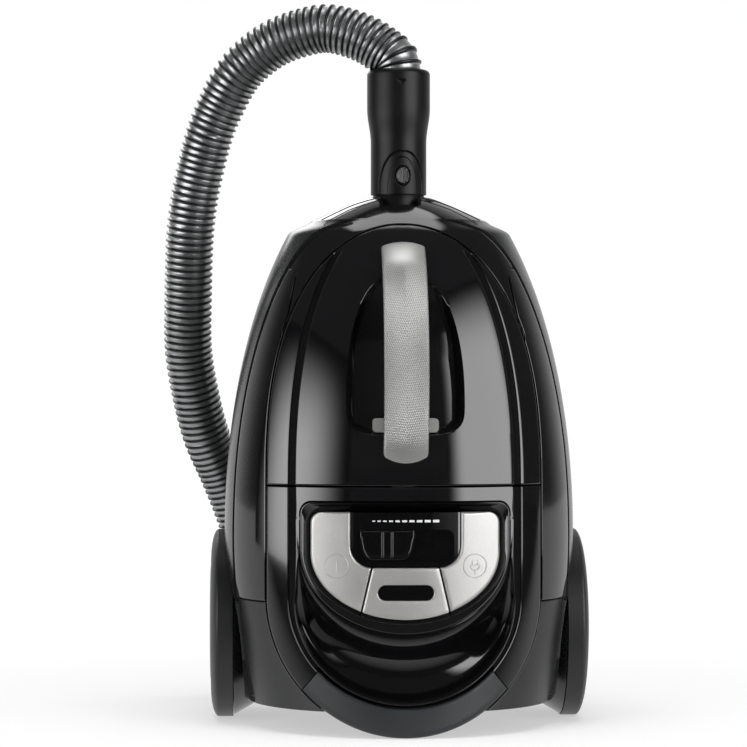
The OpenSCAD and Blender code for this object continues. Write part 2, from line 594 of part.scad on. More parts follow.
// clear bucket with an inlet boss above and an outlet boss below
module dust_cup() color("#8b9094") difference() {
    union() {
        rod_y(cup_front, cup_back, [0, cup_z], cup_r);
        rod_z(cup_z, cup_top, inlet, duct_r + 4);
        rod_z(cup_low, cup_z, inlet, duct_r + 4);
    }
    rod_y(cup_front - 1, cup_back - cup_wall, [0, cup_z], cup_r - cup_wall);
    rod_z(cup_low - 1, cup_top + 1, inlet, duct_r);
}
// perforated tube in the middle of the cup with its neck to the outlet
module vortex_finder() color("#3a3d40") difference() {
    union() {
        rod_y(-48, cup_back - cup_wall - gap, [0, cup_z], 25);
        rod_z(cup_low + 1, cup_z, inlet, duct_r - gap);
    }
    rod_y(-46, cup_back, [0, cup_z], 23.2);
    rod_z(cup_low, cup_z, inlet, duct_r - gap - 1.8);
    for (y = [-38:12:-2], a = [0:45:135]) translate([0, y, cup_z]) rotate([0, a, 0])
        translate([-30, 0, 0]) rotate([0, 90, 0]) cylinder(r = 3.5, h = 60, $fn = 24);
}

// ---------------------------------------------------------------- control pod

// outline given in the front view, kept between two radii of the curved control face
module pod_slab(ra, rb) intersection() {
    front_slab(-125, -60) children();
    difference() {
        rod_z(60, 200, [0, face_y], rb);
        rod_z(59, 201, [0, face_y], ra);
    }
}
keys_half = pod_half - 8.2;
keys_top = bezel_top - 8;
function keys_pts(d) = pod_pts(keys_half + d, keys_top + d, 139, 50 + d, 8 + d);
stem = [54, 130];      // place of the keys' stems
board_screws = [[-30, 156], [30, 156], [0, 104]];
// contour round the scale inside the keys, grown by d
module scale_outline(d) {
    w = 42 + d;
    r = 17 + d;
    union() {
        translate([-w, 128 - d + r]) square([2 * w, 60]);
        translate([-w + r, 128 - d]) square([2 * w - 2 * r, 60]);
        for (s = [-1, 1]) translate([s * (w - r), 128 - d + r]) circle(r);
    }
}
// wedge between the two keys, grown by d
module key_wedge(d) polygon([[-35.8 - d, 86], [35.8 + d, 86], [23.5 + d, 138], [-23.5 - d, 138]]);

// black frame and floor of the control pod
module control_bezel() color(shell_black) difference() {
    union() {
        difference() {
            pod_slab(face_r - 18, face_r) polygon(pod_pts(pod_half, bezel_top, pod_knee, pod_drop, pod_corner));
            pod_slab(face_r - 15, face_r + 1) polygon(keys_pts(0.8));
        }
        for (b = board_screws) rod_y(face_y - face_r + 15.5, -70, b, 3);
    }
    for (s = [-1, 1]) rod_y(-100, -60, [s * stem[0], stem[1]], 4 + fit);
    for (b = board_screws) rod_y(-80, -69, b, 1.45);
}
// one silver key, side -1 on the left and 1 on the right, its stem ends at y
module key(side, y) color(silver) {
    pod_slab(face_r - 9, face_r - 1.5) difference() {
        intersection() {
            polygon(keys_pts(0));
            translate([side > 0 ? 0 : -100, 60]) square([100, 140]);
        }
        scale_outline(0);
        key_wedge(0.4);
    }
    rod_y(-92, y, [side * stem[0], stem[1]], 4);
}
module power_key() key(-1, -77);
module rewind_key() key(1, -67.5);
// fixed silver plate between the keys, with the pocket of its lens
module indicator_plate() color(silver) {
    difference() {
        pod_slab(face_r - 9, face_r - 1.5) difference() {
            intersection() { polygon(keys_pts(0)); key_wedge(-0.4); }
            scale_outline(0);
        }
        pod_slab(face_r - 5, face_r) translate([0, 109.4]) soft_rect(42.4, 12, 5.9);
    }
    for (s = [-1, 1]) rod_y(face_y - face_r + 8, face_y - face_r + 15, [s * 12, 98], 3);
}
// dark window of the bag-full light
module indicator_lens() color("#0c0c0e")
    pod_slab(face_r - 5, face_r - 2) translate([0, 109.4]) soft_rect(41.8, 11.4, 5.6);
// gloss plate with the scale and the slider's trough
module scale_plate() color("#0c0c0e") {
    difference() {
        pod_slab(face_r - 12, face_r - 4) intersection() {
            scale_outline(-0.8);
            translate([-50, 100]) square([100, keys_top - 100]);
        }
        front_slab(-110, -97) translate([0, 144.5]) soft_rect(73.6, 25, 6);
        block([-22, -110, 143], [22, -80, 147.5]);
    }
    for (s = [-1, 1]) rod_y(-96, -89.4, [s * 30, 164], 2.5);
}
knob_x = -33.4;        // left edge of the knob at the lowest setting
// ribbed knob of the suction slider
module slider_knob() color("#0c0c0e") {
    mid = knob_x + knob_w / 2;
    difference() {
        front_slab(-103.4, -97.3) translate([mid, 144.8]) soft_rect(knob_w, 21.6, 5);
        for (x = [mid - 4.9, mid + 4.9]) rod_z(133, 157, [x - 1.2, -104.6], 2.6);
    }
    block([mid - 3, -98, 143.6], [mid + 3, -92.6, 146.9]);
}
// circuit board with the power switch and the speed control
module control_board() color("#2f5d3a") {
    difference() {
        block([-68, -70, 96], [44, -68.4, 162]);
        for (b = board_screws) rod_y(-71, -68, b, 1.7);
    }
    block([-stem[0] - 4, -73.6, stem[1] - 4], [-stem[0] + 4, -70, stem[1] + 4]);
    block([-20, -68.4, 110], [8, -56, 134]);
}
// screws that hold the board to the bezel
module screws() color("#9a9c9e") for (b = board_screws) {
    rod_y(-78, -68.3, b, 1.4);
    rod_y(-68.4, -66.2, b, 3);
}

// ---------------------------------------------------------------- inlet and cuff

collar_top = nose_top + 2.5;
spigot_r = 20;
// collar in the nose with the duct down to the dust cup
module inlet_collar() color(trim_black) difference() {
    union() {
        rod_z(nose_z - 12, collar_top, inlet, hole_r - gap);
        rod_z(nose_z + 6, nose_z + 9, inlet, hole_r + 2.5);
        rod_z(cup_top + 3.5, nose_z - 11, inlet, duct_r + 3);
    }
    rod_z(nose_z - 9, collar_top + 1, inlet, spigot_r + fit);
    rod_z(cup_top, nose_z, inlet, duct_r);
}
// face seal on the dust cup's inlet boss
module inlet_seal() color("#1c1c1c") difference() {
    rod_z(cup_top + gap, cup_top + 3.5, inlet, duct_r + 3);
    rod_z(cup_top, cup_top + 4, inlet, duct_r);
}
cuff_z = collar_top + gap;
cuff_top = nose_top + cuff_len + 1;
button = [0, cuff_z + 15];       // middle of the release button in X and Z
pad_r = cuff_d / 2 + 2.1;        // radius of the raised pad round the button
// swivelling end of the hose
module hose_cuff() color(trim_black) difference() {
    union() {
        translate([inlet[0], inlet[1], 0]) rotate_extrude() polygon([
            [duct_r + 0.5, nose_z - 8], [spigot_r, nose_z - 8],
            [spigot_r, cuff_z], [cuff_d / 2, cuff_z], [cuff_d / 2, cuff_top - 53], [cuff_rim_d / 2, cuff_top - 30],
            [cuff_rim_d / 2, cuff_top - 1.5], [cuff_rim_d / 2 - 1.5, cuff_top], [duct_r + 0.5, cuff_top]]);
        intersection() {
            difference() {
                rod_z(cuff_z, cuff_z + 40, inlet, pad_r);
                rod_z(cuff_z - 1, cuff_z + 41, inlet, cuff_d / 2 - 1);
            }
            front_slab(-40, inlet[1] - 8) union() {
                translate([-15.5, cuff_z]) square([31, 20]);
                translate([0, cuff_z + 19]) circle(15.5);
            }
        }
    }
    front_slab(-40, inlet[1] - duct_r - 3.4) translate(button) soft_rect(11.1, 15.6, 5.5);
}
// oval button on the cuff
module cuff_button() color("#1c1d1f") difference() {
    front_slab(inlet[1] - pad_r - 0.8, inlet[1] - pad_r + 2.8) translate(button) soft_rect(10.5, 15, 5.2);
    for (i = [-1:1]) rod_x(-4, 4, [inlet[1] - pad_r - 1.2, button[1] + i * 3], 0.9);
}

// ---------------------------------------------------------------- bulkhead, motor and fan

// one half of the bulkhead's plan, kept on one side of the parting plane
module bulk_plan(t, y0, y1) intersection() {
    polygon([for (a = [0:10:350]) ring_pt(bulk_z, a, t)]);
    translate([-150, y0]) square([300, y1 - y0]);
}
filter_box = [[-70, -30], [50, 60]];   // corners of the filter cassette in X and Y
// wall between dust container and motor room, with the filter's cassette
module bulkhead() color("#3a3d40") difference() {
    union() {
        translate([0, 0, bulk_z]) linear_extrude(bulk_t) union() {
            bulk_plan(wall + 1.2, part_y + gap, 120);
            bulk_plan(11, -90, frame_y - gap);
            translate([-112, frame_y - 2]) square([224, frame_t + 4]);
        }
        difference() {
            block([filter_box[0][0], filter_box[0][1], bulk_z + 5],
                [filter_box[1][0], filter_box[1][1], cup_low - 0.6]);
            block([filter_box[0][0] + 3, filter_box[0][1] + 3, bulk_z + 4],
                [filter_box[1][0] - 3, filter_box[1][1] - 3, cup_low]);
        }
    }
    rod_z(bulk_z - 1, bulk_z + bulk_t + 1, motor, 24);
    block([-9.6, -73.5, bulk_z - 1], [9.6, -65, bulk_z + bulk_t + 1]);
}
// foam that protects the motor
module motor_filter() color("#50565c")
    block([filter_box[0][0] + 3.3, filter_box[0][1] + 3.3, bulk_z + bulk_t + gap],
        [filter_box[1][0] - 3.3, filter_box[1][1] - 3.3, cup_low - 0.8]);

shroud_z = bulk_z - 4;           // top of the fan shroud
can_top = shroud_z - 28;
can_low = mount_z + 11;
bearing_r = 11;
// pressed steel housing of the fan with the upper bearing's seat
module fan_shroud() color("#a9adb0") translate([motor[0], motor[1], 0]) rotate_extrude() polygon([
    [bearing_r + fit, can_top - 9], [bearing_r + 3, can_top - 9], [bearing_r + 3, can_top], [shroud_d / 2, can_top],
    [shroud_d / 2, shroud_z - 3], [shroud_d / 2 - 3, shroud_z], [24, shroud_z], [24, shroud_z + 3.7],
    [22, shroud_z + 3.7], [22, shroud_z - 2], [shroud_d / 2 - 3.6, shroud_z - 2], [shroud_d / 2 - 2, shroud_z - 3.6],
    [shroud_d / 2 - 2, can_top + 2.5], [bearing_r + fit, can_top + 2.5]]);
fan_r = shroud_d / 2 - 8;
// closed radial fan
module fan() color("#c9ccce") translate([motor[0], motor[1], can_top + 6]) {
    difference() {
        union() {
            cylinder(r = fan_r, h = 1.6);
            cylinder(r = 10, h = 12);
        }
        translate([0, 0, -1]) cylinder(r = shaft_d / 2 + 0.01, h = 20);
    }
    translate([0, 0, 14]) difference() {
        cylinder(r = fan_r, h = 1.6);
        translate([0, 0, -1]) cylinder(r = 23, h = 4);
    }
    for (k = [1:blade_count]) rotate(360 * k / blade_count) translate([0, 0, 1.5]) linear_extrude(12.6)
        polygon(concat([for (r = [12:6:42]) [r * cos(r), r * sin(r)]],
            [for (r = [42:-6:12]) [r * cos(r) - 1.4 * sin(r), r * sin(r) + 1.4 * cos(r)]]));
}
// shaft with armature and commutator
module motor_shaft() color("#8e9294") {
    rod_z(can_low + 1, shroud_z - 2.5, motor, shaft_d / 2);
    rod_z(can_low + 24, can_low + 62, motor, 23);
    rod_z(can_low + 11, can_low + 20, motor, 11);
}
// steel can with the field stack and the lower bearing's seat
module motor_can() color("#7d8285") translate([motor[0], motor[1], 0]) difference() {
    r = motor_d / 2;
    rotate_extrude() polygon([[bearing_r + fit, can_low], [r, can_low], [r, can_top - gap], [r - 2, can_top - gap],
        [r - 2, can_low + 60], [25, can_low + 60], [25, can_low + 26], [r - 2, can_low + 26], [r - 2, can_low + 2.5],
        [bearing_r + 3, can_low + 2.5], [bearing_r + 3, can_low + 10], [bearing_r + fit, can_low + 10]]);
    for (a = [0:60:300]) rotate(a) translate([(bearing_r + r) / 2 + 1, 0, can_low - 1])
        cylinder(r = 5, h = 5, $fn = 24);
}
// two ball bearings
module bearings() color("#c2c5c7") for (z = [can_low + 1, can_top - 8]) difference() {
    rod_z(z, z + 8, motor, bearing_r);
    rod_z(z - 1, z + 9, motor, shaft_d / 2 + fit);
}
// rubber mounts above and below the motor
module motor_mounts() color("#1c1c1c") {
    difference() {
        rod_z(shroud_z + gap, bulk_z - 0.2, motor, 34);
        rod_z(shroud_z, bulk_z, motor, 24.4);
    }
    difference() {
        rod_z(mount_z + 0.1, can_low - 0.1, motor, 20);
        rod_z(mount_z, can_low, motor, 6);
    }
}

// ---------------------------------------------------------------- cable reel

reel_x0 = reel_x - reel_w / 2;
reel_x1 = reel_x + reel_w / 2;
axle_r = 5;            // axle of the reel
brake = [-58, 112];    // pivot of the brake lever in Y and Z
// empty drum of the cable reel
module reel_drum() color("#c9c7c0") translate([0, reel_c[0], reel_c[1]]) rotate([0, 90, 0]) rotate_extrude() polygon([
    [axle_r + fit, reel_x0], [reel_d / 2, reel_x0], [reel_d / 2, reel_x0 + 2], [30, reel_x0 + 2], [30, reel_x1 - 2],
    [reel_d / 2, reel_x1 - 2], [reel_d / 2, reel_x1], [27, reel_x1], [27, reel_x0 + 2.5], [9, reel_x0 + 2.5],
    [9, reel_x1], [axle_r + fit, reel_x1]]);
// two side plates with the reel's axle and the pivot of the brake
module reel_bracket() color("#3a3d40") {
    side_slab(reel_x0 - 7, reel_x0 - 4) polygon([[8, 92], [8, 108], [106.2, 108], [106.2, 92]]);
    side_slab(reel_x1 + 4, reel_x1 + 7)
        polygon([[-64, 106], [-64, 118], [-50, 118], [-20, 108], [103.4, 108], [103.4, 92], [-20, 92]]);
    rod_x(reel_x0 - 5, reel_x1 + 5, reel_c, axle_r);
    rod_x(stem[0] - 7, reel_x1 + 5, brake, 2.5);
}
// lever that lifts the brake shoe off the reel when its key is pressed
module brake_lever() color("#26282a") difference() {
    union() {
        rod_x(stem[0] - 5, reel_x1 + 2.5, brake, 5.5);
        side_slab(stem[0] - 4, stem[0] + 4) union() {
            polygon([[-62.6, 112], [-55, 114], [-61.8, 132], [-65.2, 133]]);
            translate([-65.2, 131]) circle(2, $fn = 32);
        }
        side_slab(reel_x1 - 4, reel_x1 + 2)
            polygon([[-62, 112], [-55, 110], [-46.6, 106], [-46.6, 95], [-50, 95], [-60, 106]]);
    }
    rod_x(stem[0] - 9, reel_x1 + 9, brake, 2.5 + fit);
}

// ---------------------------------------------------------------- wheels

hub_out = track_w / 2;           // outer face of a wheel
rim_x = hub_out - 18.8;          // inner edge of the tyre
hub_in = hub_out - wheel_w;
tyre_r = wheel_d / 2;
// solid of revolution round the wheel axis: profile as [radius, distance from the middle]
module wheel_turn(side, pts) translate([0, wheel_y, wheel_z]) rotate([0, side * 90, 0])
    rotate_extrude($fn = 80) polygon(pts);
// stub axles with their flanges
module axles() color("#9a9c9e") pair() {
    rod_x(arch_x + gap, arch_x + 3, [wheel_y, wheel_z], 15);
    rod_x(arch_x + 1, hub_out - 4, [wheel_y, wheel_z], axle_d / 2);
}
module wheel_hub(side) color("#1d1e20") {
    b = axle_d / 2 + fit;
    k = tyre_r - 23;
    wheel_turn(side, [[0, hub_out - 3.5], [b, hub_out - 3.5], [b, hub_in], [b + 6, hub_in], [b + 6, hub_out - 3.6],
        [k - 3, hub_out - 5], [k - 3, rim_x - 3], [tyre_r - 5.5, rim_x - 3], [tyre_r - 16, hub_in + 1.4],
        [tyre_r - 16, hub_in + 0.5], [tyre_r - 13.5, hub_in + 0.5], [tyre_r - 1.2, rim_x - 0.5],
        [k, rim_x - 0.5], [k, hub_out - 1.2], [k - 8, hub_out - 0.3], [0, hub_out]]);
}
module wheel_hub_left() wheel_hub(-1);
module wheel_hub_right() wheel_hub(1);
module tyre(side) color("#232426") wheel_turn(side, concat([[tyre_r - 22.7, rim_x + 0.2], [tyre_r, rim_x + 0.2]],
    [for (a = [0:12:72]) [tyre_r - 22.7 + 22.7 * cos(a), hub_out - 7 + 6.2 * sin(a)]],
    [[tyre_r - 22.7, hub_out - 0.9]]));
module tyre_left() tyre(-1);
module tyre_right() tyre(1);

trail = 10;            // castor trail
caster_c = 122.5 - caster_d / 2;     // castor wheel's axle in Y
// cup in the underside that holds the castor
module caster_socket() color(trim_black) difference() {
    union() {
        difference() {
            rod_y(82, 101, [0, caster_z], caster_r);
            rod_y(85, 102, [0, caster_z], caster_r - 2);
        }
        rod_y(78, 87, [0, caster_z], 7);
    }
    rod_y(79.5, 88, [0, caster_z], 4 + fit);
}
// swivelling fork with its pin and the wheel's axle
module caster_fork() color("#3a3d40") {
    rod_y(80, 88.5, [0, caster_z], 4);
    rod_y(87.4, 90.4, [0, caster_z], caster_r - 5);
    for (s = [-1, 1]) side_slab(s > 0 ? 8 : -10.5, s > 0 ? 10.5 : -8) union() {
        translate([90, caster_z - trail - 6]) square([caster_c - 90, 12]);
        translate([caster_c, caster_z - trail]) circle(6);
    }
    rod_x(-9, 9, [caster_c, caster_z - trail], 2.5);
}
module caster_wheel() color("#2b2d2f") difference() {
    union() {
        rod_x(-7, 7, [caster_c, caster_z - trail], caster_d / 2 - 1);
        rod_x(-6, 6, [caster_c, caster_z - trail], caster_d / 2);
    }
    rod_x(-8, 8, [caster_c, caster_z - trail], 2.5 + fit);
}

// ---------------------------------------------------------------- exhaust and gland

// frame behind the exhaust door with the door's hinge ears
module exhaust_tray() color("#3a3d40") {
    d0 = door[0];
    d1 = door[1];
    difference() {
        block([d0[0] - 4, 86, d0[1] - 4], [d1[0] + 4, 104.8, d1[1] + 1.5]);
        block([d0[0], 88.5, d0[1]], [d1[0], 110, d1[1] - 2]);
        for (x = [d0[0] + 5:11:d1[0] - 9]) block([x, 80, d0[1] + 5], [x + 6, 90, d1[1] - 7]);
    }
    for (x = [d0[0] + 2, d1[0] - 6]) difference() {
        union() {
            block([x, 103, hinge_z - 2.8], [x + 4, hinge_y, hinge_z + 2.8]);
            rod_x(x, x + 4, [hinge_y, hinge_z], 2.8);
        }
        rod_x(x - 1, x + 5, [hinge_y, hinge_z], 1.5 + fit);
    }
}
// pleated exhaust filter
module exhaust_filter() color("#e4e2da") difference() {
    block([door[0][0] + 0.4, 89, door[0][1] + 0.4], [door[1][0] - 0.4, 103, door[1][1] - 2.4]);
    for (x = [door[0][0] + 6:6:door[1][0] - 5]) block([x, 97, door[0][1] + 4], [x + 3, 104, door[1][1] - 6]);
}
// slotted exhaust door
module exhaust_cover() color(trim_black) {
    d0 = door[0];
    d1 = door[1];
    difference() {
        block([d0[0], 105.3, d0[1]], [d1[0], 108.6, d1[1]]);
        for (z = [d0[1] + 7:6:d1[1] - 8]) block([d0[0] + 6, 100, z], [d1[0] - 6, 112, z + 2.6]);
    }
    rod_x(d0[0] + 7, d1[0] - 7, [hinge_y, hinge_z], 2.6);
    rod_x(d0[0] + 3, d1[0] - 3, [hinge_y, hinge_z], 1.5);
    block([d0[0] + 7, hinge_y - 1.3, d1[1] - 1], [d1[0] - 7, hinge_y + 1.3, hinge_z]);
}
// bush where the mains cord would leave
module cord_gland() color("#1c1c1c") difference() {
    union() {
        rod_y(gland[1], gland[1] + 20, [gland[0], gland[2]], 7);
        block([gland[0] - 5, gland[1] + 8, tail_z + 3.2], [gland[0] + 5, gland[1] + 18, gland[2]]);
    }
    rod_y(gland[1] - 1, gland[1] + 21, [gland[0], gland[2]], 4);
}

// ---------------------------------------------------------------- hose

// centre line of the hose from the cuff to the grip
route = [[0, 15, 513.3], [-2.8, 16.2, 524.2], [-11.5, 19.5, 532], [-23, 22.5, 540], [-39, 26.5, 547], [-57.5, 31.5, 551],
    [-77, 37.5, 548], [-97, 43.5, 541], [-114, 49.5, 530], [-128, 54.5, 516], [-143, 62.5, 489], [-151, 66.5, 469],
    [-157, 71.5, 447], [-163.5, 77.5, 417], [-167, 83.5, 389], [-169, 97.5, 335], [-169, 109.5, 294],
    [-164, 119.5, 261], [-155, 132.5, 224], [-141, 144.5, 191], [-130, 152, 163], [-122, 157, 138], [-117, 163, 114],
    [-115, 172, 78], [-113, 193, 47], [-112, 224, 26.5], [-112, 260, 19.3], [-112, 380, 19.3], [-112, 500, 19.3],
    [-104, 538, 19.3], [-83, 571, 19.3], [-50, 592, 19.3], [-12, 600, 19.3], [26, 592, 19.3], [59, 571, 19.3],
    [80, 538, 19.3], [88, 500, 19.3], [82, 466, 19.3], [70, 443, 19.3], [63, 433, 19.5], [50, 406, 20.6],
    [45, 376, 21.8], [45, 360, 22]];
hose_sides = 10;
route_dir = [for (i = [0:len(route) - 1]) let (v = i == 0 ? [0, 0, 1] : i == len(route) - 1 ? [0, -1, 0]
    : route[i + 1] - route[i - 1]) v / norm(v)];
// normals carried along the line without twist
function carried(i, u) = i == len(route) ? []
    : let (v = u - (u * route_dir[i]) * route_dir[i], n = v / norm(v)) concat([n], carried(i + 1, n));
route_side = carried(0, [1, 0, 0]);
function hose_ring(i, r) = [for (k = [0:hose_sides - 1]) let (a = 360 * k / hose_sides)
    route[i] + r * (cos(a) * route_side[i] + sin(a) * cross(route_dir[i], route_side[i]))];
// ribbed hose as a plain tube
module hose() {
    m = len(route);
    n = hose_sides;
    pts = concat([for (i = [0:m - 1]) each hose_ring(i, hose_d / 2)],
        [for (i = [0:m - 1]) each hose_ring(i, hose_d / 2 - hose_wall)]);
    ends = [for (i = [0, m - 1], k = [0:n - 1]) let (j = (k + 1) % n, o = i * n, q = (m + i) * n) each i == 0
        ? [[o + k, o + j, q + j], [o + k, q + j, q + k]] : [[o + j, o + k, q + k], [o + j, q + k, q + j]]];
    color("#55585b") polyhedron(pts, concat(ends, [for (i = [0:m - 2], k = [0:n - 1])
        let (j = (k + 1) % n, o = i * n, q = (m + i) * n) each [
            [o + k, o + n + k, o + n + j], [o + k, o + n + j, o + j],
            [q + k, q + n + j, q + n + k], [q + k, q + j, q + n + j]]]), convexity = 12);
}

grip_c = [45, 22];     // axis of the grip's straight part in X and Z
grip_y = 360;          // where the hose enters the grip
grip_bend = 110;       // radius of the grip's bend
grip_turn = 60;        // angle of the grip's bend
tool_r = 17.5;         // outer radius of the end that takes a tool
// the grip's curve, a rod of radius r and e degrees longer at both ends
module grip_curve(r, e) {
    rotate([0, 0, 180 - e]) rotate_extrude(angle = grip_turn + 2 * e) translate([grip_bend, 0]) circle(r);
}
// places the spout, its base at the end of the curve and its axis along -Y
module at_spout() {
    rotate([0, 0, grip_turn]) translate([-grip_bend, 0, 0]) children();
}
// bent grip at the far end of the hose
module hose_grip() color(trim_black)
    translate([grip_c[0] + grip_bend, grip_y - 70, grip_c[1]]) difference() {
        union() {
            rod_y(36, 70, [-grip_bend, 0], 21.5);
            rod_y(-2, 37, [-grip_bend, 0], 19);
            grip_curve(18.4, 0);
            at_spout() rod_y(-14, 2, [0, 0], 19);
            at_spout() rod_y(-48, -13, [0, 0], tool_r);
        }
        rod_y(0, 71, [-grip_bend, 0], 16.5);
        grip_curve(15.9, 1);
        at_spout() rod_y(-49, 1, [0, 0], tool_r - 2.5);
        block([-grip_bend - 3, 8, 0], [3 - grip_bend, 20, 30]);
    }
vent_y = grip_y - 66;
// sliding ring that opens the air vent of the grip
module vent_slider() color(silver) difference() {
    union() {
        rod_y(vent_y, vent_y + 18, grip_c, 21);
        for (i = [0:3]) rod_y(vent_y + 3 + i * 3.5, vent_y + 4.6 + i * 3.5, grip_c, 21.6);
    }
    rod_y(vent_y - 1, vent_y + 19, grip_c, 19 + fit);
}

base_housing();
body_frame();
nose_cover();
nose_cap();
side_fairings();
side_skirts();
rear_deck();
rear_bumper();
deck_trim();
rear_apron();
wheel_arches();
container_cover();
handle_core();
handle_grip();
release_key();
latch_slide();
latch_spring();
container_top();
cup_seal();
dust_cup();
vortex_finder();
control_bezel();
power_key();
rewind_key();
indicator_plate();
indicator_lens();
scale_plate();
slider_knob();
control_board();
inlet_collar();
inlet_seal();
hose_cuff();
cuff_button();
hose();
hose_grip();
vent_slider();
bulkhead();
motor_filter();
fan_shroud();
fan();
motor_shaft();
motor_can();
bearings();
motor_mounts();
reel_drum();
reel_bracket();
brake_lever();
axles();
wheel_hub_left();
wheel_hub_right();
tyre_left();
tyre_right();
caster_socket();
caster_fork();
caster_wheel();
exhaust_tray();
exhaust_filter();
exhaust_cover();
cord_gland();
screws();
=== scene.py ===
"""Finish and fine shapes of a canister vacuum cleaner that stands parked on its rear end."""

import math

import bmesh
import bpy
import numpy as np
from mathutils import Matrix, Vector


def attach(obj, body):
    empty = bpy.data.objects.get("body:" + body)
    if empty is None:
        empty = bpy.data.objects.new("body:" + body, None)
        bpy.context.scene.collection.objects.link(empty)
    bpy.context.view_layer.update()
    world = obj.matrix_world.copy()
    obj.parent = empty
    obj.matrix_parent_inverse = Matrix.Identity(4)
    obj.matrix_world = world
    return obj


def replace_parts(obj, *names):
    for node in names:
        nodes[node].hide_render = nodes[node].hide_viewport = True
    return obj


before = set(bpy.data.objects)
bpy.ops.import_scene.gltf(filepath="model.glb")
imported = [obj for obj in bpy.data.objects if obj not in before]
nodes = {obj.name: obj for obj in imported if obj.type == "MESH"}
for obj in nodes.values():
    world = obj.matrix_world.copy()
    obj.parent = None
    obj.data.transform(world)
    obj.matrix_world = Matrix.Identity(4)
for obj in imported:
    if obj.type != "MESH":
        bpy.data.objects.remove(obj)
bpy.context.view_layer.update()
scene = bpy.context.scene

# ------------------------------------------------------------------ camera

cam = bpy.data.objects.new("camera", bpy.data.cameras.new("camera"))
scene.collection.objects.link(cam)
cam.data.sensor_width = 36
cam.data.lens = 140.3
cam.data.clip_start, cam.data.clip_end = 0.05, 40
cam.location = (-0.110, -2.297, 0.275)
aim = Vector((-0.0205, 0, 0.275)) - cam.location
cam.rotation_euler = aim.to_track_quat("-Z", "Y").to_euler()
scene.camera = cam

# ------------------------------------------------------------------ materials


def colour(code):
    """Linear colour of an sRGB hex code."""
    parts = [int(code[i : i + 2], 16) / 255 for i in (1, 3, 5)]
    return (*[c / 12.92 if c <= 0.04045 else ((c + 0.055) / 1.055) ** 2.4 for c in parts], 1)


def add(mat, kind, inputs=None, **settings):
    """A node with its settings; an input is a value or another node's output."""
    node = mat.node_tree.nodes.new(kind)
    for key, value in settings.items():
        setattr(node, key, value)
    for key, value in (inputs or {}).items():
        if isinstance(value, bpy.types.NodeSocket):
            mat.node_tree.links.new(value, node.inputs[key])
        else:
            node.inputs[key].default_value = value
    return node


def start(name):
    """An empty material with its coordinates in metres on the part itself."""
    mat = bpy.data.materials.new(name)
    mat.use_nodes = True
    mat.node_tree.nodes.clear()
    return mat, add(mat, "ShaderNodeTexCoord").outputs["Object"]


def close(mat, inputs):
    """The material with its principled shader and output."""
    shader = add(mat, "ShaderNodeBsdfPrincipled", inputs)
    add(mat, "ShaderNodeOutputMaterial", {"Surface": shader.outputs[0]})
    return mat


def per(mm):
    """Scale of a pattern whose cells are that many millimetres wide."""
    return 1000 / mm


# sockets of the mix node that take and give colours
MIX_A, MIX_B, MIXED = 6, 7, 2


def moulded_abs(name, dark, light, low, high, grain=0.0, depth=0.0, coat=0.0, wave=0.0, level=0.5):
    """Injection-moulded plastic: faint flow marks in colour and gloss, with a fine eroded grain where it is
    satin or a shallow wave where it is polished; grain, wave and depth are in mm."""
    # an eroded mould's grain is 0.1 to 0.3 mm wide, too fine to show, so the grain is drawn about 1 mm wide
    mat, place = start(name)
    flow = add(mat, "ShaderNodeTexNoise", {"Vector": place, "Scale": per(45), "Detail": 3.0})
    dust = add(mat, "ShaderNodeTexNoise", {"Vector": place, "Scale": per(1.1), "Detail": 2.0})
    gloss = add(mat, "ShaderNodeMath", {0: flow.outputs[0], 1: dust.outputs[0]}, operation="MULTIPLY")
    tone = add(mat, "ShaderNodeMix", {
        "Factor": flow.outputs[0], MIX_A: colour(dark), MIX_B: colour(light),
    }, data_type="RGBA")
    sheen = add(mat, "ShaderNodeMapRange", {
        "Value": gloss.outputs[0], "From Min": 0.1, "From Max": 0.4, "To Min": low, "To Max": high,
    })
    bump = None
    if grain:
        pits = add(mat, "ShaderNodeTexVoronoi", {"Vector": place, "Scale": per(grain)})
        bump = add(mat, "ShaderNodeBump", {
            "Height": pits.outputs[0], "Strength": 0.35, "Distance": depth / 1000,
        })
    elif wave:
        peel = add(mat, "ShaderNodeTexNoise", {"Vector": place, "Scale": per(wave), "Detail": 0.0})
        bump = add(mat, "ShaderNodeBump", {
            "Height": peel.outputs[0], "Strength": 0.5, "Distance": depth / 1000,
        })
    inputs = {
        "Base Color": tone.outputs[MIXED],
        "Roughness": sheen.outputs[0],
        "IOR": 1.52,
        "Specular IOR Level": level,
        "Coat Weight": coat,
        "Coat Roughness": 0.04,
    }
    if bump:
        inputs["Normal"] = bump.outputs[0]
    return close(mat, inputs)


# high-gloss ABS, polished mould: deep black mirror with a barely uneven sheen
piano_abs = moulded_abs(
    "piano_black_abs_polished", "#0a0a0b", "#0f0f11", 0.06, 0.11, wave=9, depth=0.004, coat=0.3
)
# ABS from a fine-eroded mould: charcoal with soft broad highlights
satin_abs = moulded_abs("satin_black_abs_eroded", "#0d0e0f", "#131416", 0.32, 0.44, grain=0.9, depth=0.04)
# ABS of the tub, semi-gloss mould: black with a tighter sheen than the skirts
tub_abs = moulded_abs("semi_gloss_black_abs_moulded", "#101112", "#151617", 0.2, 0.3, wave=6, depth=0.006)
# polypropylene turned dull by a coarser mould grain: flat charcoal
matt_pp = moulded_abs(
    "matt_black_polypropylene_grained", "#191a1b", "#222325", 0.48, 0.6, grain=1.2, depth=0.08
)
# dark grey glass-filled nylon of the inner parts: dry and slightly mottled
inner_nylon = moulded_abs("grey_filled_nylon_moulded", "#2f3235", "#3d4144", 0.5, 0.62, grain=1.6, depth=0.06)
# polypropylene of the hose's cuff, lightly eroded: soft charcoal
cuff_pp = moulded_abs(
    "charcoal_polypropylene_moulded", "#090909", "#0e0e0e", 0.34, 0.42, grain=1.0, depth=0.02, level=0.2
)
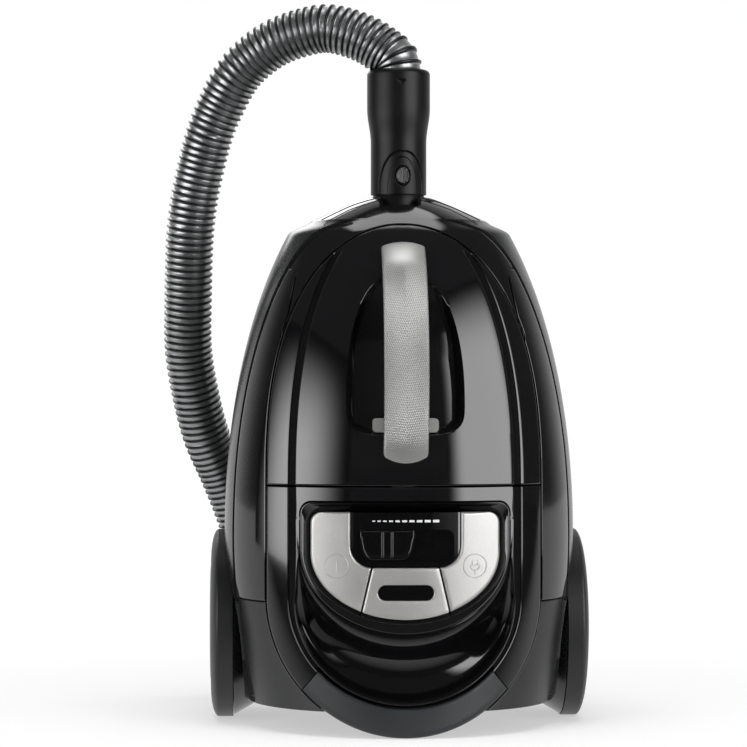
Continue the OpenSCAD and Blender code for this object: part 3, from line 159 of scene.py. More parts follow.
# ABS of the wheel discs, satin mould: near black with a soft round sheen
hub_abs = moulded_abs("satin_black_abs_turned", "#0c0d0e", "#121315", 0.24, 0.34, grain=0.8, depth=0.02)
# glossier ABS of the cuff's button and the slider's ribs: small bright glints on fine ribs
satin_button = moulded_abs("black_abs_button_moulded", "#0e0f10", "#141517", 0.26, 0.34, wave=3, depth=0.004)
# cast acrylic, polished: the darkest and clearest black of all
black_acrylic = moulded_abs("black_acrylic_polished", "#050506", "#08080a", 0.03, 0.06, coat=0.5)
# painted shade: a flat, barely glossy black laid at the bottom of grooves and channels, a flat black line
# between the glossy covers
painted_shade_black = moulded_abs(
    "painted_groove_shade_matt_black", "#020202", "#040404", 0.6, 0.72, grain=1.0, depth=0.03, level=0.08
)
# acetal, natural white: milky and waxy
white_acetal = moulded_abs("natural_acetal_moulded", "#d0cdc4", "#dcdad2", 0.3, 0.4, grain=1.4, depth=0.02)


def flake_lacquer(name, dark, light, low, high, grain, depth):
    """ABS sprayed with aluminium-flake lacquer: silver with a fine sparkle, over a fine texture."""
    mat, place = start(name)
    # flakes are under 0.1 mm wide, too fine to show, so they are drawn 0.67 mm wide
    flakes = add(mat, "ShaderNodeTexVoronoi", {"Vector": place, "Scale": per(0.67)})
    cloud = add(mat, "ShaderNodeTexNoise", {"Vector": place, "Scale": per(28.6), "Detail": 2.0})
    glint = add(mat, "ShaderNodeMath", {0: flakes.outputs[0], 1: cloud.outputs[0]}, operation="MULTIPLY_ADD")
    glint.inputs[2].default_value = 0.1
    height = add(mat, "ShaderNodeTexVoronoi", {"Vector": place, "Scale": per(grain)}).outputs[0]
    bump = add(mat, "ShaderNodeBump", {"Height": height, "Strength": 0.3, "Distance": depth / 1000})
    tone = add(mat, "ShaderNodeMix", {
        "Factor": glint.outputs[0], MIX_A: colour(dark), MIX_B: colour(light),
    }, data_type="RGBA")
    sheen = add(mat, "ShaderNodeMapRange", {"Value": cloud.outputs[0], "To Min": low, "To Max": high})
    return close(mat, {
        "Base Color": tone.outputs[MIXED],
        "Metallic": 0.55,
        "Roughness": sheen.outputs[0],
        "Coat Weight": 0.15,
        "Coat Roughness": 0.2,
        "Normal": bump.outputs[0],
    })


# ABS keys sprayed silver: pale grey with a broad soft highlight
silver_lacquer = flake_lacquer("silver_lacquer_sprayed", "#a6a5a3", "#c5c4c2", 0.32, 0.42, 0.8, 0.01)


def dimpled_grip():
    """Silver lacquer over chevron rows of small dimples, plain towards both ends, with painted shade
    darkening the colour in the dimples and the rims between them lighter.
    """
    row_gap, column_gap = 0.0019, 0.0020
    plain_below, dimpled_from, dimpled_to, plain_above = 0.212, 0.226, 0.352, 0.364
    mat, place = start("silver_lacquer_dimpled_with_painted_shade")
    xyz = add(mat, "ShaderNodeSeparateXYZ", {"Vector": place})
    side = add(mat, "ShaderNodeMath", {0: xyz.outputs[0]}, operation="ABSOLUTE")
    lean = add(
        mat, "ShaderNodeMath", {0: side.outputs[0], 1: -0.55, 2: xyz.outputs[2]}, operation="MULTIPLY_ADD"
    )
    rows = add(mat, "ShaderNodeMath", {0: lean.outputs[0], 1: 2 * math.pi / row_gap}, operation="MULTIPLY")
    columns = add(
        mat, "ShaderNodeMath", {0: side.outputs[0], 1: 2 * math.pi / column_gap}, operation="MULTIPLY"
    )
    row_wave = add(mat, "ShaderNodeMath", {0: rows.outputs[0]}, operation="SINE")
    shift = add(
        mat, "ShaderNodeMath", {0: rows.outputs[0], 1: 0.5, 2: columns.outputs[0]}, operation="MULTIPLY_ADD"
    )
    column_wave = add(mat, "ShaderNodeMath", {0: shift.outputs[0]}, operation="SINE")
    dimples = add(
        mat, "ShaderNodeMath", {0: row_wave.outputs[0], 1: column_wave.outputs[0]}, operation="MULTIPLY"
    )
    fade_top = add(mat, "ShaderNodeMapRange", {
        "Value": xyz.outputs[2], "From Min": dimpled_to, "From Max": plain_above, "To Min": 1, "To Max": 0,
    })
    fade_low = add(mat, "ShaderNodeMapRange", {
        "Value": xyz.outputs[2], "From Min": plain_below, "From Max": dimpled_from, "To Min": 0, "To Max": 1,
    })
    fade = add(mat, "ShaderNodeMath", {0: fade_top.outputs[0], 1: fade_low.outputs[0]}, operation="MULTIPLY")
    depth = add(mat, "ShaderNodeMath", {0: dimples.outputs[0], 1: fade.outputs[0]}, operation="MULTIPLY")
    cloud = add(mat, "ShaderNodeTexNoise", {"Vector": place, "Scale": per(16.7), "Detail": 2.0})
    bump = add(mat, "ShaderNodeBump", {"Height": depth.outputs[0], "Strength": 0.8, "Distance": 0.0003})
    # painted shade: the colour goes darker down into each dimple and lighter on the rims between them
    raised = add(mat, "ShaderNodeMapRange", {"Value": depth.outputs[0], "From Min": -1})
    tone = add(mat, "ShaderNodeMix", {
        "Factor": raised.outputs[0], MIX_A: colour("#8c8c8b"), MIX_B: colour("#cfcfcd"),
    }, data_type="RGBA")
    sheen = add(mat, "ShaderNodeMapRange", {"Value": cloud.outputs[0], "To Min": 0.34, "To Max": 0.44})
    return close(mat, {
        "Base Color": tone.outputs[MIXED],
        "Metallic": 0.88,
        "Roughness": sheen.outputs[0],
        "Normal": bump.outputs[0],
    })


grip_silver = dimpled_grip()


def rolled_metal(name, dark, light, low, high):
    """Rolled or drawn metal: a grey with fine lines along its length."""
    # the lines of a draw are finer than 0.1 mm, too fine to show, so they are drawn 1.1 mm wide
    mat, place = start(name)
    drawn = add(mat, "ShaderNodeMapping", {"Vector": place, "Scale": (per(1.1), per(1.1), per(25))})
    lines = add(mat, "ShaderNodeTexNoise", {"Vector": drawn.outputs[0], "Scale": 1.0, "Detail": 3.0})
    tone = add(mat, "ShaderNodeMix", {
        "Factor": lines.outputs[0], MIX_A: colour(dark), MIX_B: colour(light),
    }, data_type="RGBA")
    sheen = add(mat, "ShaderNodeMapRange", {"Value": lines.outputs[0], "To Min": low, "To Max": high})
    return close(mat, {"Base Color": tone.outputs[MIXED], "Metallic": 1.0, "Roughness": sheen.outputs[0]})


# mild steel, zinc plated: cool grey with streaks along the draw
zinc_steel = rolled_metal("zinc_plated_steel_drawn", "#8d9092", "#b3b6b8", 0.25, 0.45)
# aluminium sheet, pressed: pale and even
fan_aluminium = rolled_metal("aluminium_pressed", "#c0c3c5", "#d6d8da", 0.3, 0.42)


def vinyl_rubber(name, dark, light, low, high, cell):
    """Soft moulded elastomer: dull black with a fine bloom."""
    # pores are too fine to show, so they are drawn about 1 mm wide
    mat, place = start(name)
    bloom = add(mat, "ShaderNodeTexNoise", {"Vector": place, "Scale": per(16.7), "Detail": 4.0})
    pores = add(mat, "ShaderNodeTexVoronoi", {"Vector": place, "Scale": per(cell)})
    bump = add(mat, "ShaderNodeBump", {"Height": pores.outputs[0], "Strength": 0.25, "Distance": 0.0001})
    tone = add(mat, "ShaderNodeMix", {
        "Factor": bloom.outputs[0], MIX_A: colour(dark), MIX_B: colour(light),
    }, data_type="RGBA")
    sheen = add(mat, "ShaderNodeMapRange", {"Value": bloom.outputs[0], "To Min": low, "To Max": high})
    return close(mat, {
        "Base Color": tone.outputs[MIXED], "Roughness": sheen.outputs[0], "Normal": bump.outputs[0],
    })


# rubber, moulded: dense black, dull at the tread
tyre_rubber = vinyl_rubber("black_rubber_moulded", "#0b0b0c", "#121314", 0.42, 0.56, 1.1)
# thermoplastic elastomer, moulded: charcoal, lighter than the covers round it
bumper_rubber = vinyl_rubber("charcoal_elastomer_moulded", "#17181a", "#1e2022", 0.42, 0.55, 1.3)
# foam rubber, cut: black and light-trapping
seal_foam = vinyl_rubber("black_foam_rubber", "#17181a", "#24262a", 0.75, 0.9, 0.8)
# polyurethane foam, open cells: speckled grey
filter_foam = vinyl_rubber("grey_open_cell_foam", "#4a5056", "#646b72", 0.8, 0.95, 0.9)


def hose_vinyl(name, dark, light):
    """Metallised PVC of a stretch hose: graphite bands that catch the light beside dark coils."""
    mat, place = start(name)
    cloud = add(mat, "ShaderNodeTexNoise", {"Vector": place, "Scale": per(8.3), "Detail": 3.0})
    tone = add(mat, "ShaderNodeMix", {
        "Factor": cloud.outputs[0], MIX_A: colour(dark), MIX_B: colour(light),
    }, data_type="RGBA")
    sheen = add(mat, "ShaderNodeMapRange", {"Value": cloud.outputs[0], "To Min": 0.3, "To Max": 0.4})
    return close(mat, {"Base Color": tone.outputs[MIXED], "Metallic": 0.9, "Roughness": sheen.outputs[0]})


# PVC skin with metal pigment, extruded: graphite bands with a lengthwise glint
graphite_pvc = hose_vinyl("graphite_pvc_metallised", "#8b8c8d", "#a4a5a6")
# PVC over the spring wire, extruded, drawn darker grey over the coils and their flanks: dark lines that part
# the bands
coil_pvc = hose_vinyl("darker_grey_on_hose_coils", "#2c2d2e", "#3b3c3d")


def pleated_paper():
    """Folded glass-fibre paper: chalky white with the shade of its folds."""
    fold_gap = 0.003
    # fibres are too fine to show, so they are drawn as flecks 1.4 mm wide
    mat, place = start("white_filter_paper_pleated")
    xyz = add(mat, "ShaderNodeSeparateXYZ", {"Vector": place})
    folds = add(mat, "ShaderNodeMath", {0: xyz.outputs[0], 1: 2 * math.pi / fold_gap}, operation="MULTIPLY")
    wave = add(mat, "ShaderNodeMath", {0: folds.outputs[0]}, operation="SINE")
    fibre = add(mat, "ShaderNodeTexNoise", {"Vector": place, "Scale": per(1.4), "Detail": 4.0})
    tone = add(mat, "ShaderNodeMix", {
        "Factor": fibre.outputs[0], MIX_A: colour("#d2cfc5"), MIX_B: colour("#e6e3da"),
    }, data_type="RGBA")
    bump = add(mat, "ShaderNodeBump", {"Height": wave.outputs[0], "Strength": 0.6, "Distance": 0.0006})
    return close(mat, {"Base Color": tone.outputs[MIXED], "Roughness": 0.85, "Normal": bump.outputs[0]})


def smoked_bucket():
    """Smoked clear SAN of the dust cup: grey glass with fine flow lines and scuffs."""
    mat, place = start("smoked_san_moulded")
    scuff = add(mat, "ShaderNodeTexNoise", {"Vector": place, "Scale": per(6.7), "Detail": 4.0})
    tone = add(mat, "ShaderNodeMix", {
        "Factor": scuff.outputs[0], MIX_A: colour("#7e8488"), MIX_B: colour("#969ca0"),
    }, data_type="RGBA")
    sheen = add(mat, "ShaderNodeMapRange", {"Value": scuff.outputs[0], "To Min": 0.06, "To Max": 0.2})
    return close(mat, {
        "Base Color": tone.outputs[MIXED],
        "Roughness": sheen.outputs[0],
        "IOR": 1.57,
        "Transmission Weight": 0.75,
    })


def green_board():
    """Solder mask over glass laminate: green with pale tracks 2.5 mm apart."""
    mat, place = start("green_solder_mask_printed")
    xyz = add(mat, "ShaderNodeSeparateXYZ", {"Vector": place})
    flat = add(mat, "ShaderNodeCombineXYZ", {"X": xyz.outputs[0], "Y": xyz.outputs[2]})
    tracks = add(mat, "ShaderNodeTexBrick", {
        "Vector": flat.outputs[0], "Scale": 1.0,
        "Mortar Size": 0.0004, "Brick Width": 0.014, "Row Height": 0.0025,
        "Color1": colour("#1f4f31"), "Color2": colour("#24573a"), "Mortar": colour("#3f7a55"),
    })
    return close(mat, {"Base Color": tracks.outputs[0], "Roughness": 0.4, "IOR": 1.55})


filter_paper = pleated_paper()
smoked_san = smoked_bucket()
solder_mask = green_board()


def printed_white():
    """White pad-printing ink: matt, slightly thin at the grain."""
    # the grain is too fine to show, so the thin spots are drawn 0.8 mm wide
    mat, place = start("white_ink_pad_printed")
    thin = add(mat, "ShaderNodeTexNoise", {"Vector": place, "Scale": per(0.8), "Detail": 2.0})
    tone = add(mat, "ShaderNodeMix", {
        "Factor": thin.outputs[0], MIX_A: colour("#c9cbcc"), MIX_B: colour("#e9eaea"),
    }, data_type="RGBA")
    return close(mat, {"Base Color": tone.outputs[MIXED], "Roughness": 0.5})


white_ink = printed_white()

# ------------------------------------------------------------------ housing surfaces, in mm
#
# The sizes down to FACE_R are those of the part's source: plan curve, crown, keel, parting planes, container
# cover with its seam and wall, and the curved face of the controls.

BODY_W, WIDEST, PLAN_R, TAIL_NARROW = 276.0, 150.0, 305.0, 20.0
CROWN_D, CROWN_Z, CROWN_R, CHIN = 120.0, 200.0, 219.0, 5.5
KEEL_D, KEEL_Z, KEEL_RISE, NOSE_Z, TAIL_Z = 94.5, 345.0, 50.0, 395.0, 19.0
MID_Y, PART_Y, FRAME_Y = 15.0, -30.0, -34.0
COVER_Z, COVER_H, COVER_HALF, SEAM, WALL = 190.0, 200.0, 105.0, 0.8, 3.0
GROOVE_HALF, GROOVE_H = 86.0, 212.0
RING_Z, RING_OUT, RING_IN, RING_IN_DROP = 105.0, 105.0, 88.5, 82.7
FACE_Y, FACE_R = 101.5, 208.0
# exponents of the section: round over the crown, nearly square round the keel
CROWN_BEND, KEEL_BEND = 2.3, 5.0
# straight inner edge of the side fairings: half width at its foot, height of the foot, lean, upper end
FAIR_IN, FAIR_FOOT, FAIR_LEAN, FAIR_TOP = 92.0, 300.0, 0.2, 356.3
# round shoulder under the nose, top of the nose's dome and radius of the hole for the collar
SHOULDER, SHOULDER_Z, NOSE_TOP, NOSE_HOLE = 12.0, 385.0, 414.3, 24.5


def power(v, p):
    """v to the power p, nothing below zero."""
    return np.power(np.maximum(0.0, v), p)


def plan_half(z):
    """Half width of the body, drawn in to a round shoulder under the nose."""
    z = np.asarray(z, float)
    full = np.where(z >= WIDEST, BODY_W / 2 * power(1 - ((z - WIDEST) / PLAN_R) ** 2, 0.5),
                    BODY_W / 2 - TAIL_NARROW * ((WIDEST - z) / WIDEST) ** 2)
    return full - SHOULDER * np.sin(np.pi / 2 * np.clip((z - SHOULDER_Z) / (NOSE_Z - SHOULDER_Z), 0, 1)) ** 2


def crown(z):
    """Depth of the crowned side before the middle plane."""
    z = np.asarray(z, float)
    return np.where(z >= CROWN_Z, CROWN_D * np.sqrt(np.maximum(0.001, 1 - ((z - CROWN_Z) / CROWN_R) ** 2)),
                    CROWN_D + CHIN * ((CROWN_Z - z) / CROWN_Z) ** 2)


def keel(z):
    """Depth of the flat side behind the middle plane."""
    z = np.asarray(z, float)
    return np.where(z <= KEEL_Z, KEEL_D, KEEL_D - KEEL_RISE * ((z - KEEL_Z) / (NOSE_Z + 1 - KEEL_Z)) ** 2)


def skin_y(x, z, t=0.0):
    """The crowned side at (x, z), sunk by t."""
    share = np.minimum(1, np.abs(x) / (plan_half(z) - t))
    return MID_Y - (crown(z) - t) * power(1 - share**CROWN_BEND, 1 / CROWN_BEND)


def cross_x(z, y, t=0.0):
    """Half width of the skin where it crosses the plane y."""
    share = np.minimum(1, (MID_Y - y) / (crown(z) - t))
    return (plan_half(z) - t) * power(1 - share**CROWN_BEND, 1 / CROWN_BEND)


def ring_pt(z, a, t=0.0):
    """Point of the closed section at height z, angle a in degrees from the front."""
    s, c = np.sin(np.radians(a)), np.cos(np.radians(a))
    n = np.where(c > 0, CROWN_BEND, KEEL_BEND)
    d = np.where(c > 0, crown(z), keel(z))
    return (np.sign(s) * (plan_half(z) - t) * np.abs(s) ** (2 / n),
            MID_Y - np.sign(c) * (d - t) * np.abs(c) ** (2 / n))


def cover_x(z):
    """Half width of the container's arch."""
    return COVER_HALF * power(1 - power((np.asarray(z, float) - COVER_Z) / COVER_H, 2.6), 0.5)


def groove_x(z):
    """Distance of the cover's decorative groove from the middle."""
    return GROOVE_HALF * power(1 - power((np.asarray(z, float) - COVER_Z) / GROOVE_H, 2.4), 0.5)


def ring_x(z, half, drop):
    """Half width of a line of the tail's ring: straight above its centre, elliptic below."""
    z = np.asarray(z, float)
    return np.where(z >= RING_Z, half, half * power(1 - ((RING_Z - z) / drop) ** 2, 0.5))


def fairing_edge(z):
    """Straight inner edge of the side fairings beside the arch."""
    return FAIR_IN - (z - FAIR_FOOT) * FAIR_LEAN


def ease(v, a, b):
    """Smooth step from 0 at a to 1 at b."""
    t = np.clip((np.asarray(v, float) - a) / (b - a), 0, 1)
    return t * t * (3 - 2 * t)


# ------------------------------------------------------------------ making pieces


def piece(name, points, faces, body, finish, smooth=True):
    """A mesh piece from points in mm, riding on a body."""
    mesh = bpy.data.meshes.new(name)
    mesh.from_pydata([tuple(0.001 * float(c) for c in p) for p in points], [], faces)
    mesh.validate()
    bm = bmesh.new()
    bm.from_mesh(mesh)
    bmesh.ops.remove_doubles(bm, verts=bm.verts, dist=1e-7)
    bmesh.ops.recalc_face_normals(bm, faces=bm.faces)
    bm.to_mesh(mesh)
    bm.free()
    mesh.polygons.foreach_set("use_smooth", [smooth] * len(mesh.polygons))
    if smooth:
        mesh.set_sharp_from_angle(angle=math.radians(52))
    mesh.materials.append(finish)
    obj = bpy.data.objects.new(name, mesh)
    scene.collection.objects.link(obj)
    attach(obj, body)
    return obj


def grid_faces(m, n, first=0, ring=False, turn=False):
    """Faces between m rows of n points; ring closes each row, turn joins the last row to the first."""
    return [
        (first + i * n + j, first + (i + 1) % m * n + j, first + (i + 1) % m * n + (j + 1) % n,
         first + i * n + (j + 1) % n)
        for i in range(m if turn else m - 1)
        for j in range(n if ring else n - 1)
    ]


def edge_steps(length, step, lip=1.2):
    """Distances along an edge to edge run: close together at both rims, even between."""
    rim = [0, 0.08 * lip, 0.3 * lip, 0.62 * lip, lip, 1.5 * lip]
    inner = max(1, int(round((length - 3 * lip) / step)))
    middle = [1.5 * lip + (length - 3 * lip) * k / inner for k in range(1, inner)]
    return np.array([*rim, *middle, *[length - r for r in rim[::-1]]])


def roll(distance, lip=1.2):
    """How deep a rounded rim of radius lip lies at that distance from the edge."""
    d = np.clip(distance, 0, lip)
    return lip - np.sqrt(np.maximum(0, lip**2 - (lip - d) ** 2))


def run(points):
    """Length along each row of points."""
    steps = np.linalg.norm(np.diff(points, axis=1), axis=2)
    return np.concatenate([np.zeros((len(points), 1)), np.cumsum(steps, axis=1)], axis=1)


def shell(name, front, body, finish, lip=1.2, deep=3.0, rims=(1, 1, 1, 1), back=None):
    """A moulded cover from a grid of front points: rolled rims, and edges that turn back into the body.

    rims: whether the first row, last row, first column and last column are free edges.
    deep: how far the edges reach back, at most to the plane back; a flange then turns inwards."""
    flange = 2.2
    p = np.array(front, float)
    m, n, _ = p.shape
    along, up = run(p), run(p.transpose(1, 0, 2)).T
    away = np.full((m, n), 1e3)
    for free, distance in zip(rims, (up, up[-1:] - up, along, along[:, -1:] - along)):
        if free:
            away = np.minimum(away, distance)
    p[..., 1] += roll(away, lip)
    loop = [(0, j) for j in range(n)] + [(i, n - 1) for i in range(1, m)]
    loop += [(m - 1, j) for j in range(n - 2, -1, -1)] + [(i, 0) for i in range(m - 2, 0, -1)]
    points = list(p.reshape(-1, 3))
    faces = grid_faces(m, n)
    centre = p[m // 2, n // 2]
    first = len(points)
    for i, j in loop:
        q = p[i, j].copy()
        q[1] = max(q[1], min(q[1] + deep, back if back is not None else 1e3))
        points.append(q)
    for i, j in loop:
        q = points[-len(loop)].copy()
        inward = centre - q
        inward[1] = 0
        points.append(q + inward / (np.linalg.norm(inward) + 1e-9) * flange)
    k = len(loop)
    for a in range(k):
        b = (a + 1) % k
        ia, ib = loop[a][0] * n + loop[a][1], loop[b][0] * n + loop[b][1]
        faces.append((ia, ib, first + b, first + a))
        faces.append((first + a, first + b, first + k + b, first + k + a))
    return piece(name, points, faces, body, finish)


def arc_rows(zs, inner, outer, sink=0.0, step=3.0, lip=1.2):
    """Rows of points on the crowned side between two half widths at each height."""
    rows = []
    samples = np.linspace(0, 1, 160)
    count = None
    for z in zs:
        w, d = float(plan_half(z)) - sink, float(crown(z)) - sink
        shares = [min(1, max(0, float(edge(z)) / w)) for edge in (inner, outer)]
        pa, pb = [math.asin(share ** (CROWN_BEND / 2)) for share in shares]
        t = pa + samples * (pb - pa)
        line = np.stack([w * np.sin(t) ** (2 / CROWN_BEND), MID_Y - d * np.cos(t) ** (2 / CROWN_BEND)], 1)
        length = np.concatenate([[0], np.cumsum(np.linalg.norm(np.diff(line, axis=0), axis=1))])
        if count is None:
            count = max(4, int((length[-1] - 3 * lip) / step))
        at = edge_steps(length[-1], (length[-1] - 3 * lip) / count, lip)
        rows.append([(np.interp(s, length, line[:, 0]), np.interp(s, length, line[:, 1]), z) for s in at])
    return np.array(rows)


def both(rows):
    """The same rows mirrored to the other side."""
    other = np.array(rows, float)
    other[..., 0] *= -1
    return other


def tube(name, path, radius, body, finish, sides=10, closed=False, lift=None):
    """A thin round bead along points in mm."""
    path = np.array(path, float)
    nxt, prv = np.roll(path, -1, 0), np.roll(path, 1, 0)
    if not closed:
        nxt[-1], prv[0] = path[-1], path[0]
    along = nxt - prv
    along /= np.linalg.norm(along, axis=1)[:, None]
    up = np.tile(np.array(lift or (0, -1.0, 0)), (len(path), 1))
    side = np.cross(along, up)
    side /= np.linalg.norm(side, axis=1)[:, None] + 1e-9
    up = np.cross(side, along)
    turn = np.linspace(0, 2 * math.pi, sides, endpoint=False)
    points = [
        p + radius * (math.cos(t) * s + math.sin(t) * u) for p, s, u in zip(path, side, up) for t in turn
    ]
    faces = grid_faces(len(path), sides, ring=True, turn=closed)
    if not closed:
        faces += [tuple(range(sides))[::-1], tuple(range((len(path) - 1) * sides, len(path) * sides))]
    return piece(name, points, faces, body, finish)


def turned(name, profile, centre, axis, body, finish, sides=96):
    """A turned part: a profile of (distance along the axis, radius) round X, Y or Z."""
    points = []
    for s, r in profile:
        for k in range(sides):
            t = 2 * math.pi * k / sides
            u, v = r * math.cos(t), r * math.sin(t)
            points.append({"x": (s, centre[0] + u, centre[1] + v), "y": (centre[0] + u, s, centre[1] + v),
                           "z": (centre[0] + u, centre[1] + v, s)}[axis])
    faces = grid_faces(len(profile), sides, ring=True)
    faces += [tuple(range(sides))[::-1], tuple(range((len(profile) - 1) * sides, len(profile) * sides))]
    return piece(name, points, faces, body, finish)


def loops(name, outlines, body, finish, fill=True):
    """A piece from matching closed outlines of (x, y, z) points, the last one filled."""
    n = len(outlines[0])
    points = [p for line in outlines for p in line]
    faces = grid_faces(len(outlines), n, ring=True)
    if fill:
        last = np.array(outlines[-1], float)
        points.append(tuple(last.mean(0)))
        first = (len(outlines) - 1) * n
        faces += [(first + k, first + (k + 1) % n, len(points) - 1) for k in range(n)]
    return piece(name, points, faces, body, finish)


def right_or_left(side):
    """Name of the side, 1 for the right."""
    return "right" if side > 0 else "left"


def flat(rows):
    """All points of the rows in one list."""
    return [p for row in rows for p in row]


# ------------------------------------------------------------------ hose, its line as in the part's source

ROUTE = [
    [0, 15, 513.3], [-2.8, 16.2, 524.2], [-11.5, 19.5, 532], [-23, 22.5, 540], [-39, 26.5, 547],
    [-57.5, 31.5, 551], [-77, 37.5, 548], [-97, 43.5, 541], [-114, 49.5, 530], [-128, 54.5, 516],
    [-143, 62.5, 489], [-151, 66.5, 469], [-157, 71.5, 447], [-163.5, 77.5, 417], [-167, 83.5, 389],
    [-169, 97.5, 335], [-169, 109.5, 294], [-164, 119.5, 261], [-155, 132.5, 224], [-141, 144.5, 191],
    [-130, 152, 163], [-122, 157, 138], [-117, 163, 114], [-115, 172, 78], [-113, 193, 47], [-112, 224, 26.5],
    [-112, 260, 19.3], [-112, 380, 19.3], [-112, 500, 19.3], [-104, 538, 19.3], [-83, 571, 19.3],
    [-50, 592, 19.3], [-12, 600, 19.3], [26, 592, 19.3], [59, 571, 19.3], [80, 538, 19.3], [88, 500, 19.3],
    [82, 466, 19.3], [70, 443, 19.3], [63, 433, 19.5], [50, 406, 20.6], [45, 376, 21.8], [45, 360, 22],
]
# radius over the coils, their pitch, and the height of the hose's middle where it lies on the floor
COIL_R, COIL_PITCH, HOSE_LOW = 19.6, 5.5, 19.7


def smooth_line(points, step):
    """Points at even steps on a smooth curve through the given ones."""
    p = np.array(points, float)
    ends = [p[0] - (0, 0, 11), *p, 2 * p[-1] - p[-2]]
    fine = []
    for a, b, c, d in zip(ends[:-3], ends[1:-2], ends[2:-1], ends[3:]):
        k1, k2, k3 = [max(1e-6, np.linalg.norm(v)) ** 0.5 for v in (b - a, c - b, d - c)]
        t0, t1, t2, t3 = 0, k1, k1 + k2, k1 + k2 + k3
        for t in np.linspace(t1, t2, 24, endpoint=False):
            a1 = (t1 - t) / k1 * a + (t - t0) / k1 * b
            a2 = (t2 - t) / k2 * b + (t - t1) / k2 * c
            a3 = (t3 - t) / k3 * c + (t - t2) / k3 * d
            b1 = (t2 - t) / (t2 - t0) * a1 + (t - t0) / (t2 - t0) * a2
            b2 = (t3 - t) / (t3 - t1) * a2 + (t - t1) / (t3 - t1) * a3
            fine.append((t2 - t) / k2 * b1 + (t - t1) / k2 * b2)
    fine = np.array([*fine, p[-1]])
    length = np.concatenate([[0], np.cumsum(np.linalg.norm(np.diff(fine, axis=0), axis=1))])
    at = np.linspace(0, length[-1], max(2, int(round(length[-1] / step))))
    return np.stack([np.interp(at, length, fine[:, k]) for k in range(3)], 1), length[-1]


def stretch_hose():
    """The hose: narrow dark coils over the wire with slightly bowed bands of bright skin between them."""
    # share of the pitch, and how far the skin lies below the coils there
    dips = [(0.0, 0), (0.07, 0.1), (0.13, 0.7), (0.19, 1.6), (0.26, 2.0), (0.5, 1.8), (0.74, 2.0),
            (0.81, 1.6), (0.87, 0.7), (0.93, 0.1)]
    line, length = smooth_line(ROUTE, 0.5)
    line[:, 2] = np.maximum(line[:, 2], HOSE_LOW)
    at = np.linspace(0, length, len(line))
    count = int(length / COIL_PITCH)
    stations = [((k + f) * length / count, COIL_R - dip) for k in range(count) for f, dip in dips]
    stations.append((length, COIL_R))
    along = np.gradient(line, axis=0)
    along /= np.linalg.norm(along, axis=1)[:, None]
    side = np.array([1.0, 0, 0])
    points, sides = [], 40
    for s, r in stations:
        c, d = [np.array([np.interp(s, at, v[:, k]) for k in range(3)]) for v in (line, along)]
        d /= np.linalg.norm(d)
        side = side - side.dot(d) * d
        side /= np.linalg.norm(side)
        up = np.cross(d, side)
        for k in range(sides):
            t = 2 * math.pi * k / sides
            points.append(c + r * (math.cos(t) * side + math.sin(t) * up))
    faces = grid_faces(len(stations), sides, ring=True)
    skin = piece("hose_skin", points, faces, "housing", graphite_pvc)
    skin.data.materials.append(coil_pvc)
    # the coil crests and their flanks, on both sides of each crest, take the darker grey
    for face in skin.data.polygons:
        row = min(face.vertices) // sides % len(dips)
        face.material_index = int(row <= 2 or row >= len(dips) - 3)
    return skin, line, length


hose, hose_line, hose_length = stretch_hose()
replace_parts(hose, "hose")

# ------------------------------------------------------------------ covers of the crowned side

# hand recess: its widest height, half width there, reach below and above, depth and half width at its tip
RECESS_Z, RECESS_HALF, RECESS_LOW, RECESS_HIGH, RECESS_DEEP, RECESS_TIP = 255.0, 45.0, 27.0, 102.0, 22.0, 4.0


def rounded_rows(low, high, step, lip=1.2):
    """Heights from low to high, close together at both rims."""
    return low + edge_steps(high - low, step, lip)


def groove_depth(x, z):
    """Decorative groove: 5 mm wide with rounded shoulders, running out below the arch."""
    off = np.abs(np.abs(x) - groove_x(z))
    return 2.2 * ease(-off, -3.1, -1.9) * ease(COVER_Z + COVER_H - 8 - z, 0, 26)


def recess_depth(x, z):
    """Hand recess: a teardrop bowl with a 5.5 mm shoulder."""
    shoulder, span = 5.5, RECESS_HALF - RECESS_TIP
    drop, across = np.clip((RECESS_Z - z) / RECESS_LOW, 0, 3), np.abs(x) / RECESS_HALF
    low = 1 - drop**4 - across**4
    slope_low = 4 * np.hypot(drop**3 / RECESS_LOW, across**3 / RECESS_HALF)
    rise = np.clip((z - RECESS_Z) / RECESS_HIGH, 0, 3)
    wide = np.clip(np.abs(x) - RECESS_TIP, 0, None) / span
    high = 1 - rise**2.2 - wide**2
    slope_high = np.hypot(2.2 * rise**1.2 / RECESS_HIGH, 2 * wide / span)
    inside = np.where(z < RECESS_Z, low / (slope_low + 0.004), high / (slope_high + 0.004))
    floor = RECESS_DEEP * ease(RECESS_Z + RECESS_HIGH - 1 - z, 0, 70)
    return floor * ease(inside, 0, shoulder) ** 0.8


def recess_edge(z):
    """Half width of the recess, which the columns of points follow, or a plain width beyond its ends."""
    if z <= 228:
        return 20
    if z < RECESS_Z:
        return RECESS_HALF * (1 - max(0, (RECESS_Z - z) / 27.2) ** 4) ** 0.25
    rise = min(1, (z - RECESS_Z) / RECESS_HIGH)
    return RECESS_TIP + (RECESS_HALF - RECESS_TIP) * math.sqrt(1 - rise**2.2)


